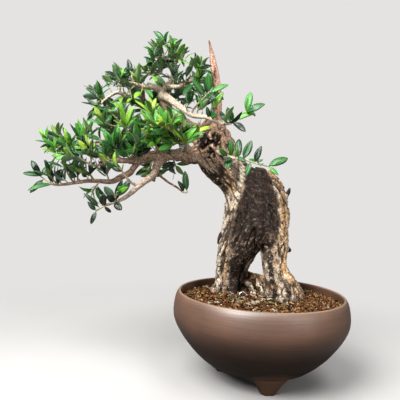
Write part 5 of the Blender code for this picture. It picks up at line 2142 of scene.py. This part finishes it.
LIMB_TINTS = {
    "low": (Tint.LIMB_RED, Tint.LIMB_RED),
    "left": (Tint.LIMB_RED, Tint.LIMB_RED),
    "under": (Tint.LIMB_RED, Tint.LIMB_PALE),
    "fork": (Tint.LIMB_GREY, Tint.LIMB_GREY),
    "hanging": (Tint.DEADWOOD_DARK, Tint.DEADWOOD_DARK),
    "upper": (Tint.LIMB_GREY, Tint.LIMB_GREY),
    "crossing": (Tint.LIMB_PALE, Tint.LIMB_PALE),
    "top": (Tint.LIMB_GREY, Tint.LIMB_PALE),
    "shelf": (Tint.LIMB_PALE, Tint.LIMB_GREY),
    "rear": (Tint.LIMB_GREY, Tint.LIMB_PALE),
    "rear_shoot": (Tint.LIMB_PALE, Tint.LIMB_PALE),
    "mid": (Tint.LIMB_RED, Tint.LIMB_GREY),
    "cross_shoot": (Tint.LIMB_PALE, Tint.LIMB_PALE),
    "right_top": (Tint.LIMB_GREY, Tint.LIMB_PALE),
    "right_low": (Tint.LIMB_PALE, Tint.LIMB_PALE),
    "back_low": (Tint.LIMB_RED, Tint.LIMB_GREY),
    "back_high": (Tint.LIMB_GREY, Tint.LIMB_GREY),
    "back_top": (Tint.LIMB_GREY, Tint.LIMB_PALE),
    "front_mid": (Tint.LIMB_RED, Tint.LIMB_GREY),
    "rise": (Tint.LIMB_RED, Tint.LIMB_GREY),
    "rise_back": (Tint.LIMB_GREY, Tint.LIMB_GREY),
    "rise_front": (Tint.LIMB_GREY, Tint.LIMB_PALE),
}


@dataclass
class Limbs:
    """The limbs that carry the sprays, and the thin ends of the dead wood."""

    sides: int = 12
    ring_step: float = 1.6
    collar: float = 0.35
    ends: tuple[str, ...] = ("flake", "nub", "stub")

    def roughen(
        self, mesh: bpy.types.Mesh, tints: list[tuple[Tint, Tint, float, float]]
    ) -> np.ndarray:
        """Lifts knobs and fine bark on the limbs and colours them.

        Args:
            mesh: the limbs in metres, which is moved.
            tints: for each point, its limb's first and last tint, the way along and the radius.

        Returns:
            The linear colour of each point.
        """
        spots = points_of(mesh) / MM
        knobs = noise(spots / 4.2, 61, 2) - 0.5
        fine = noise(spots / 1.5, 67, 2) - 0.5
        girth = np.array([row[3] for row in tints])
        lift = (0.24 * knobs + 0.1 * fine) * girth + 0.25 * knobs
        moved = spots + normals_of(mesh) * lift[:, None]
        mesh.vertices.foreach_set("co", (moved * MM).ravel())
        first, last = (np.array([row[k].rgb() for row in tints]) for k in (0, 1))
        colour = mix(first, last, np.array([row[2] for row in tints]))
        shade = smoothstep(0.35, 0.65, noise(spots / 3.0, 71, 3))[:, None]
        fleck = 0.4 * smoothstep(0.62, 0.74, noise(spots / 1.8, 73, 2))
        colour = mix(colour * (0.68 + 0.45 * shade), Tint.FLAKE, fleck)
        grain = smoothstep(0.4, 0.62, noise(spots / (1.5, 1.5, 16), 75, 2))
        bare = mix(Tint.DEADWOOD_DARK, Tint.DEADWOOD, grain)
        dead = np.array([row[0] is Tint.DEADWOOD for row in tints])[:, None]
        return np.where(dead, bare, colour)

    def build(self, finish: bpy.types.Material) -> bpy.types.Object:
        """Draws every limb as a tube that starts inside its parent.

        Args:
            finish: the wood's material.

        Returns:
            The limbs as one piece.
        """
        work = bmesh.new()
        tints = []
        jobs = [
            ([(*p[:3], p[3] * LIMB_GIRTH.get(name, 1.0)) for p in path], LIMB_TINTS[name])
            for name, (_, path) in GROWTHS.items()
            if name in LIMB_TINTS
        ]
        jobs += [(GROWTHS[name][1], (Tint.BARK_DARK, Tint.BARK_DARK)) for name in self.ends]
        # The riser darkens towards its foot, partly as painted shade.
        jobs.append((RISER, (Tint.DEADWOOD_DARK, Tint.LIMB_RED)))
        spike = [(x, y, z, (w + d) / 2) for x, y, z, w, d in LEFT_STRAND[-7:]]
        jobs.append((spike, (Tint.DEADWOOD, Tint.DEADWOOD)))
        for path, (first, last) in jobs:
            fine = max(2, round(path_length(path) / (len(path) - 1) / self.ring_step))
            collar = 0 if first in (Tint.BARK_DARK, Tint.DEADWOOD) else self.collar
            added = tube_skin(work, path, self.sides, fine, collar)
            for k in range(added):
                way = k / max(1, added - 1)
                girth = np.interp(way * (len(path) - 1), range(len(path)), [p[3] for p in path])
                tints.append((first, last, way, girth))
        made = to_object("limbs", work, finish)
        colour_points(made.data, self.roughen(made.data, tints))
        return made


@dataclass
class LeafShape:
    """An olive leaf's blade, as a closed lens that is bent to each leaf's place."""

    across: int = 4
    along: int = 8
    thickness: float = 0.32
    # Half width along the blade as a share of the widest.
    outline: tuple[Row, Row] = (
        (0.0, 0.06, 0.1, 0.2, 0.32, 0.48, 0.65, 0.8, 0.91, 0.97, 1.0),
        (0.09, 0.08, 0.16, 0.62, 0.9, 1.0, 0.98, 0.82, 0.52, 0.26, 0.03),
    )
    # How much leaves differ: width, fold, arch, twist, bluntness and ripple, as low and high.
    habit: tuple[Row, ...] = (
        (0.78, 1.02), (-0.1, 0.5), (0.03, 0.13), (-0.5, 0.5), (0, 1), (0, math.tau),
    )

    def template(self) -> bmesh.types.BMesh:
        """Two grids sewn together round their edge, x and y from -0.5 to 0.5.

        Returns:
            The flat double grid.
        """
        work = bmesh.new()
        for up in (1, -1):
            cells = {"x_segments": self.across, "y_segments": self.along}
            for vert in bmesh.ops.create_grid(work, size=0.5, **cells)["verts"]:
                vert.co.z = 0 if vert.is_boundary else up
        bmesh.ops.remove_doubles(work, verts=work.verts, dist=1e-5)
        bmesh.ops.recalc_face_normals(work, faces=work.faces)
        return work

    def build(
        self, name: str, leaves: list[Leaf], finish: bpy.types.Material, seed: int
    ) -> bpy.types.Object:
        """Bends one template to every leaf of a group.

        Args:
            name: the piece's name.
            leaves: the leaves.
            finish: the leaf material.
            seed: which random bends they get.

        Returns:
            The leaves as one piece.
        """
        rng = np.random.default_rng(seed)
        template = self.template()
        base = np.array([v.co for v in template.verts])
        s, t, up = 2 * base[:, 0], base[:, 1] + 0.5, base[:, 2]
        t = np.sin((t - 0.5) * math.pi) * 0.22 + t * 0.56 + 0.22
        lower = np.array([f.normal.z < 0 for f in template.faces])
        count = len(leaves)
        root = np.array([leaf.root for leaf in leaves])
        axis = np.array([leaf.tip - leaf.root for leaf in leaves])
        length = np.linalg.norm(axis, axis=1, keepdims=True)
        axis /= length
        out = np.array([leaf.face for leaf in leaves])
        out -= axis * np.sum(out * axis, axis=1, keepdims=True)
        out /= np.linalg.norm(out, axis=1, keepdims=True)
        side = np.cross(axis, out)
        slim, fold, bend, twist, blunt, ripple = (
            rng.uniform(low, high, (count, 1)) for low, high in self.habit
        )
        wide = np.array([[leaf.width] for leaf in leaves]) / 2 * slim
        arch = bend * length
        half = np.interp(t, *self.outline)[None] * (1 - 0.35 * blunt * smoothstep(0.45, 1, t)[None])
        turn = twist * (t - 0.4)[None]
        reach = half * wide * s[None]
        lift = np.abs(reach) * fold - 0.25 * half * wide * fold
        lift += arch * np.sin(math.pi * t)[None]
        lift += 0.05 * wide * np.sin(9 * t[None] + ripple) * np.abs(s)[None]
        thick = self.thickness * (0.45 + 0.9 * (1 - np.abs(s)))[None] * np.minimum(1, half * 2.5)
        lift += up[None] * thick / 2
        across = reach * np.cos(turn) - lift * np.sin(turn)
        rise = reach * np.sin(turn) + lift * np.cos(turn)
        sweep = rng.uniform(-0.05, 0.05, (count, 1)) * length * np.sin(math.pi * t)[None]
        places = (
            root[:, None]
            + axis[:, None] * (length * t[None])[..., None]
            + side[:, None] * (across + sweep)[..., None]
            + out[:, None] * rise[..., None]
        )
        places = np.clip(places, BOX_LOW, BOX_HIGH)
        mesh = mesh_copies(name, template, places)
        value_points(mesh, "age", np.repeat([leaf.age for leaf in leaves], len(base)))
        under = mesh.attributes.new("under", "FLOAT", "FACE")
        under.data.foreach_set("value", np.tile(lower.astype(np.float32), count))
        loops = np.empty(len(mesh.loops), dtype=np.int32)
        mesh.loops.foreach_get("vertex_index", loops)
        uv = np.stack([np.tile(0.5 + s / 2, count), np.tile(t, count)], axis=1)[loops]
        mesh.uv_layers.new(name="UVMap").data.foreach_set("uv", uv.ravel().astype(np.float32))
        return finished(name, mesh, finish)


class Family(Enum):
    """The limbs whose leaves make one piece, and how young those leaves look."""

    TOP = ("leaves_top", ("top", "right_top", "shelf", "back_top"), 0.1)
    REAR = ("leaves_rear", ("rear", "rear_shoot"), 0.0)
    CROSSING = ("leaves_crossing", ("crossing", "cross_shoot"), 0.18)
    MIDDLE = ("leaves_middle", ("mid", "front_mid"), 0.34)
    RISE = ("leaves_rise", ("rise", "rise_back", "rise_front"), 0.22)
    LOW = ("leaves_low", ("low", "hanging"), 0.12)
    LEFT = ("leaves_left", ("left",), 0.15)
    UNDER = ("leaves_under", ("under", "fork"), 0.05)
    RIGHT = ("leaves_right", ("right_low",), 0.5)
    BACK = ("leaves_back", ("back_low", "back_high"), 0.1)

    def __init__(self, title: str, limbs: tuple[str, ...], youth: float) -> None:
        """Keeps the piece's name, its limbs and how young its leaves are.

        Args:
            title: the piece's name.
            limbs: the limbs that its leaves grow on.
            youth: how young its leaves are, from 0 to 1.
        """
        self.title = title
        self.limbs = limbs
        self.youth = youth


@dataclass
class Foliage:
    """All twigs and leaves, laid out as the part's are."""

    sprays: dict[str, Spray]
    sides: int = 6
    per_twig: int = 7
    # The least distance between leaf middles, along twigs and in a tuft.
    leaf_gap: float = 4.2
    tuft_gap: float = 2.5
    middle_way: float = 0.55
    open_age: float = 0.75
    # Where leaf tips may go, as the lowest and the highest corner.
    room: tuple[Row, Row] = ((-278, -97, 180), (96, 97, 393))
    leaf_length: Row = (14.0, 24.0)
    leaf_slimness: float = 0.34
    grey_part: float = 0.35
    tuft_slimness: float = 0.31
    tuft_leaves: int = 8
    spur_step: float = 8.0
    middles: list[np.ndarray] = field(default_factory=list)
    shown: np.ndarray | None = None
    # Fans of upright leaves: where they grow, how long the leaves are, and how young. The last
    # five, behind the crossing limbs, are made dark as painted shade.
    tufts: tuple[tuple[Row, float, float], ...] = (
        ((-181, -36, 280), 20, 0.95), ((-177, -27, 296), 19, 0.85), ((-142, -52, 258), 22, 0.8),
        ((-123, -50, 275), 23, 0.95), ((-107, -52, 275), 23, 1), ((-91, -46, 263), 23, 0.95),
        ((-82, -38, 270), 22, 0.9), ((-112, -54, 244), 19, 0.8), ((-192, -40, 246), 18, 1),
        ((-220, -22, 256), 17, 0.85), ((-250, -8, 262), 16, 0.95), ((-239, -14, 250), 17, 0.8),
        ((-169, -16, 334), 16, 0.7), ((-191, -14, 312), 18, 0.85), ((-113, -6, 371), 15, 1),
        ((-132, -32, 296), 20, 0.75), ((-155, -44, 276), 21, 0.9), ((-210, -20, 263), 18, 0.85),
        ((-106, -18, 334), 18, 0.6), ((-82, -14, 333), 20, 0.8), ((-133, -10, 357), 16, 0.7),
        ((-226, -20, 234), 17, 0.7), ((-246, -8, 224), 19, 0.7), ((-110, 30, 345), 18, 0.6),
        ((-145, 45, 300), 20, 0.7), ((-170, 40, 275), 20, 0.8), ((-130, 50, 262), 20, 0.7),
        # These five stand behind the crossing limbs, kept dark as painted shade.
        ((-135, 25, 322), 15, 0.1), ((-108, 25, 324), 15, 0.1), ((-129, 40, 318), 17, 0.2),
        ((-122, 34, 310), 17, 0.1), ((-98, 30, 318), 15, 0.2),
    )
    # Limbs that show in the photo: name, from which point to which, and how clear they are.
    in_view: tuple[tuple[str, float, float, float], ...] = (
        ("crossing", 0, 7, 3), ("shelf", 0, 4, 2.5), ("upper", 5, 6, 2), ("right_top", 0, 2, 2.5),
        ("rear", 6, 10, 1.5), ("under", 3, 7.2, 1.5), ("left", 3, 9, 1), ("low", 4.6, 7.5, 0.5),
        ("hanging", 0.5, 3, 2.5), ("right_low", 0, 3, 1.5),
    )
    # Leaf tips of the part that single leaves stand in for.
    given_up: tuple[Row, ...] = ((-275, 4, 198),)
    # Limbs that carry leafy spurs, and the point that they start at.
    spurs: tuple[tuple[str, float], ...] = (
        ("top", 1), ("right_top", 1.2), ("shelf", 1), ("rear", 4), ("crossing", 2.2), ("mid", 0.6),
        ("front_mid", 0.8), ("rise", 0.7), ("rise_back", 0.6), ("rise_front", 0.6), ("back_low", 1.4),
        ("back_high", 1.2), ("back_top", 0.8), ("low", 6.3), ("left", 6.5),
    )

    def build_twigs(self, finish: bpy.types.Material) -> bpy.types.Object:
        """The twigs, each from inside its limb to its tip, green where it is young.

        Args:
            finish: the material that it gets.

        Returns:
            The twigs, as one piece.
        """
        work = bmesh.new()
        tones = []
        for spray in self.sprays.values():
            for path in spray.twigs:
                main = path is spray.twigs[0] and not spray.extra
                rows = [(*spray.foot, path[0][3] * 1.15), *path] if main else list(path)
                way = np.linspace(0 if main else 0.5, 1, tube_skin(work, rows, self.sides, 4))
                tones.append(np.maximum(0, way - self.grey_part) / (1 - self.grey_part))
        made = to_object("twigs", work, finish)
        colour_points(made.data, mix(Tint.LIMB_GREY, Tint.TWIG_GREEN, np.concatenate(tones)))
        return made

    def stretches(self) -> np.ndarray:
        """The limbs that show, as rows of x, y, z, how far leaves keep off, and its share.

        Returns:
            The rows.
        """
        if self.shown is None:
            rows = []
            for limb, first, last, gap in self.in_view:
                path, girth = GROWTHS[limb][1], LIMB_GIRTH.get(limb, 1.0)
                for k in range(round((last - first) * 4) + 1):
                    x, y, z, radius = spline(path, first + k / 4)
                    rows.append((x, y, z, radius * girth, gap))
            self.shown = np.array(rows)
        return self.shown

    def hides_limb(self, leaf: Leaf, share: float) -> bool:
        """Tells whether a leaf stands before a limb that shows, seen from the camera.

        Args:
            leaf: the leaf.
            share: how much of the usual clearance it must keep.

        Returns:
            True where it does.
        """
        rows = self.stretches()
        eye = np.array(CAMERA_EYE)
        scale = -eye[1] / (rows[:, 1] - eye[1])
        flat = (rows[:, [0, 2]] - eye[[0, 2]]) * scale[:, None]
        keep = rows[:, 3] * scale + rows[:, 4] * share + 0.25 * leaf.width * share
        for way in (0.3, 0.55, 0.8, 1.0):
            spot = np.array(leaf.root.lerp(leaf.tip, way))
            seen = (spot[[0, 2]] - eye[[0, 2]]) * (-eye[1] / (spot[1] - eye[1]))
            near = np.linalg.norm(flat - seen, axis=1) < keep
            if np.any(near & (rows[:, 1] > spot[1])):
                return True
        return False

    def clear(self, leaf: Leaf, gap: float) -> bool:
        """Tells whether a leaf stays in the part's box and off the others, and then keeps it.

        Args:
            leaf: the leaf.
            gap: how far its middle keeps from the others'.

        Returns:
            True where it has room.
        """
        low, high = self.room
        if any(not a < c < b for a, c, b in zip(low, leaf.tip, high)) or self.hides_limb(leaf, 1.0):
            return False
        middle = np.array(leaf.root.lerp(leaf.tip, self.middle_way))
        if len(self.middles) and np.linalg.norm(np.array(self.middles) - middle, axis=1).min() < gap:
            return False
        self.middles.append(middle)
        return True

    def small_leaf(self, root: Vector, ahead: Vector, age: float, rng: random.Random) -> Leaf:
        """A leaf that leans off a twig in any direction, and rather up.

        Args:
            root: where the leaf starts.
            ahead: the twig's direction there.
            age: how young it is, from 0 to 1.
            rng: the source of random numbers.

        Returns:
            The leaf.
        """
        out = square_to(ahead, ahead.orthogonal().normalized(), rng.uniform(0, math.tau))
        spread = rng.uniform(0.35, 1.15)
        way = ahead * math.cos(spread) + out * math.sin(spread) + Vector((0, 0, 0.45))
        length = rng.uniform(*self.leaf_length)
        tip = root + way.normalized() * length
        face = (root - Vector(CROWN_MIDDLE)).normalized() + Vector((0, -0.3, 0.6))
        face += Vector([rng.uniform(-0.5, 0.5) for _ in range(3)])
        return Leaf(root, tip, face, self.leaf_slimness * length, age)

    def thicken(self) -> None:
        """Adds small leaves on the twigs and short leafy spurs on the thin limbs."""
        rng = random.Random(SEED + 5)
        for spray in self.sprays.values():
            if spray.open:
                spray.leaves = [leaf for leaf in spray.leaves if tuple(leaf.tip) not in self.given_up]
                for leaf in spray.leaves:
                    leaf.age *= self.open_age
            else:
                spray.leaves = [leaf for leaf in spray.leaves if not self.hides_limb(leaf, 0.3)]
        for limb, rows in LONE_LEAVES.items():
            for root, tip, width, age in rows:
                face = Vector((rng.uniform(-0.5, 0.5), -1.0, rng.uniform(0.1, 0.7)))
                leaf = Leaf(Vector(root), Vector(tip), face, width, age)
                self.sprays[f"spray_open_{limb}"].leaves.append(leaf)
        for spray in self.sprays.values():
            self.middles += [np.array(leaf.root.lerp(leaf.tip, self.middle_way)) for leaf in spray.leaves]
        for spray in self.sprays.values():
            for path in [] if spray.open else spray.twigs:
                for n in range(self.per_twig):
                    way = 0.15 + 0.83 * (n + rng.random()) / self.per_twig
                    root, _, ahead = along_path(path, way * (len(path) - 1))
                    leaf = self.small_leaf(root, ahead, way, rng)
                    if self.clear(leaf, self.leaf_gap):
                        spray.leaves.append(leaf)
        for limb, first in self.spurs:
            self.add_spurs(limb, first, rng)
        for at, length, age in self.tufts:
            self.add_tuft(Vector(at), length, age, rng)

    def add_spurs(self, limb: str, at: float, rng: random.Random) -> None:
        """Adds short spurs of a few small leaves along a limb, from a point counted along it.

        Args:
            limb: the limb's name.
            at: the position that they start at.
            rng: the source of random numbers.
        """
        path = GROWTHS[limb][1]
        spray = Spray(f"spurs_{limb}", limb, Vector(path[0][:3]), extra=True)
        while at < len(path) - 1:
            root, radius, ahead = along_path(path, at)
            out = square_to(ahead, ahead.orthogonal().normalized(), rng.uniform(0, math.tau))
            out = (out + ahead * 0.5 + Vector((0, 0, 0.7))).normalized()
            end = root + out * (radius + rng.uniform(3.0, 9.0))
            made = [self.small_leaf(end, out, rng.uniform(0.3, 1), rng) for _ in range(4)]
            made = [leaf for leaf in made if self.clear(leaf, self.leaf_gap)]
            if made:
                spray.twigs.append([(*root, 0.9), (*root.lerp(end, 0.5), 0.75), (*end, 0.6)])
                spray.leaves += made
            at += self.spur_step / path_length(path[int(at) : int(at) + 2])
        self.sprays[spray.name] = spray

    def add_tuft(self, at: Vector, length: float, age: float, rng: random.Random) -> None:
        """Adds a short twig from the nearest limb with a fan of young upright leaves.

        Args:
            at: where the fan stands.
            length: how long its leaves are.
            age: how young they are, from 0 to 1.
            rng: the source of random numbers.
        """
        stations = [
            (limb, Vector(p[:3]), p[3])
            for limb, first in self.spurs
            for p in GROWTHS[limb][1][math.ceil(first) :]
        ]
        limb, foot, radius = min(stations, key=lambda row: (row[1] - at).length)
        aim = (at - foot).normalized()
        bow = foot.lerp(at, 0.5) + Vector((0, 0, -0.1 * (at - foot).length))
        spray = Spray(f"spurs_tuft_{len(self.sprays)}", limb, foot, extra=True)
        spray.twigs.append([(*foot, min(radius, 1.2)), (*bow, 0.9), (*at, 0.7)])
        up = (aim * 0.5 + Vector((0, -0.15, 1.0))).normalized()
        across = up.orthogonal().normalized()
        for k in range(self.tuft_leaves):
            # Each leaf turns on from the last by a golden share of a full turn.
            a = math.tau * k / self.tuft_leaves * 1.62 + rng.uniform(-0.3, 0.3)
            out = square_to(up, across, a)
            below = self.tuft_leaves - 1 - k
            spread = 0.25 + 0.95 * below / (self.tuft_leaves - 1) + rng.uniform(-0.12, 0.12)
            root = at - up * below * 0.8
            reach = length * rng.uniform(0.8, 1.2)
            tip = root + (up * math.cos(spread) + out * math.sin(spread)) * reach
            face = up - out * 0.4 + Vector((0, -0.5, 0))
            leaf = Leaf(root, tip, face, self.tuft_slimness * length, age * (0.7 + 0.045 * k))
            if self.clear(leaf, self.tuft_gap):
                spray.leaves.append(leaf)
        if spray.leaves:
            self.sprays[spray.name] = spray

    def build_family(self, family: Family, finish: bpy.types.Material) -> bpy.types.Object:
        """The leaves of one family, aged from the foot of each twig to its tip.

        Args:
            family: the family.
            finish: the leaf material.

        Returns:
            The piece.
        """
        rng = random.Random(family.title)
        leaves = []
        for spray in self.sprays.values():
            if spray.limb in family.limbs:
                bright = rng.gauss(family.youth, 0.15)
                for leaf in spray.leaves:
                    leaf.age = min(1.0, max(0.0, bright + 0.62 * leaf.age**2 + rng.gauss(0, 0.17)))
                    leaves.append(leaf)
        made = LeafShape().build(family.title, leaves, finish, SEED + len(leaves))
        log.info("%s: %d leaves", family.title, len(leaves))
        return made


@dataclass
class Studio:
    """A pale floor, soft light and the camera."""

    background: str = "#e4e3e1"
    sky: str = "#f4f6fa"
    eye: Row = CAMERA_EYE
    focal_px: float = 427.0
    picture_px: float = 400.0
    roll: float = 0.040
    # Name, energy in watts, size in metres, place in metres.
    lamps: tuple[tuple[str, float, float, Row], ...] = (
        ("key", 25.5, 0.6, (-0.75, -1.0, 1.05)),
        ("fill", 6.0, 0.7, (1.0, -1.0, 0.6)),
        ("window", 18.0, 0.66, (-0.4, -0.56, 1.08)),
        ("skylight", 4.5, 0.36, (0.42, -0.5, 1.1)),
        ("rim", 5.0, 0.7, (0.3, 0.9, 1.2)),
    )

    def light(self) -> None:
        """Adds the lamps and the world."""
        aim = Vector((0.0, 0.0, 0.18))
        for name, energy, size, place in self.lamps:
            lamp = bpy.data.lights.new(name, "AREA")
            lamp.energy, lamp.size = energy, size
            direction = (aim - Vector(place)).to_track_quat("-Z", "Y").to_matrix().to_4x4()
            link_object(name, lamp).matrix_world = Matrix.Translation(place) @ direction
        world = bpy.data.worlds.new("studio")
        world.use_nodes = True
        bpy.context.scene.world = world
        tree = world.node_tree
        feed(tree.nodes["Background"], {"Color": self.sky, "Strength": 0.2})
        lit = tree.nodes["Background"].outputs[0]
        seen = add_node(tree, "Background", {"Color": self.background, "Strength": 1.0})
        camera = add_node(tree, "LightPath", {}, "Is Camera Ray")
        both = add_node(tree, "MixShader", {0: camera, 1: lit, 2: seen})
        feed(tree.nodes["World Output"], {"Surface": both})

    def lay_floor(self) -> bpy.types.Object:
        """A wide round floor under the pot.

        Returns:
            The floor.
        """
        work = bmesh.new()
        bmesh.ops.create_circle(work, cap_ends=True, segments=96, radius=3000.0)
        return to_object("floor", work, MattFloor(background=self.background).build())

    def place_camera(self) -> None:
        """Adds the camera as it stood for the photo."""
        data = bpy.data.cameras.new("camera")
        data.lens = self.focal_px / self.picture_px * data.sensor_width
        data.clip_start = 0.01
        made = link_object("camera", data)
        made.matrix_world = (
            Matrix.Translation(in_metres(np.array(self.eye)))
            @ Matrix.Rotation(-self.roll, 4, "Y")
            @ Matrix.Rotation(math.pi / 2, 4, "X")
        )
        bpy.context.scene.camera = made


def dress(piece: bpy.types.Object, nodes: Sequence[str]) -> None:
    """Hangs a piece on the part in place of its nodes and logs its size.

    Args:
        piece: the finished piece.
        nodes: the part's nodes that it replaces.
    """
    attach(piece, "root")
    if nodes:
        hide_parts(*nodes)
    triangles = sum(len(p.vertices) - 2 for p in piece.data.polygons)
    log.info("%s: %d triangles", piece.name, triangles)


def main() -> None:
    """Builds every piece of the picture."""
    bpy.context.scene.view_settings.view_transform = "Standard"
    wood, leaf_skin = WeatheredWood().build(), OliveLeafSkin().build()
    clay, gravel = Stoneware().build(), LOOSE_GRAVEL.build()
    dress(Pot().build(clay), ["pot"])
    bed = SoilBed()
    dress(bed.build_bed(gravel), ["soil"])
    dress(bed.build_grains(gravel), [])
    dress(bed.build_threads(gravel), [])
    dress(FixingWire().build(DrawnWire().build()), ["fixing_wire"])
    dress(Trunk().build(wood), ["trunk"])
    dress(Limbs().build(wood), [])
    foliage = Foliage(Growth().lay_out())
    foliage.thicken()
    dress(foliage.build_twigs(wood), [])
    for family in Family:
        sprays = [s for s in foliage.sprays.values() if s.limb in family.limbs]
        nodes = [spray.name for spray in sprays if not spray.extra]
        dress(foliage.build_family(family, leaf_skin), nodes)
    screen = bpy.data.objects["drainage_screen"]
    screen.data.materials.clear()
    screen.data.materials.append(MOULDED_MESH.build())
    studio = Studio()
    studio.light()
    studio.place_camera()
    studio.lay_floor()
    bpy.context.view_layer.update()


if __name__ == "__main__":
    main()
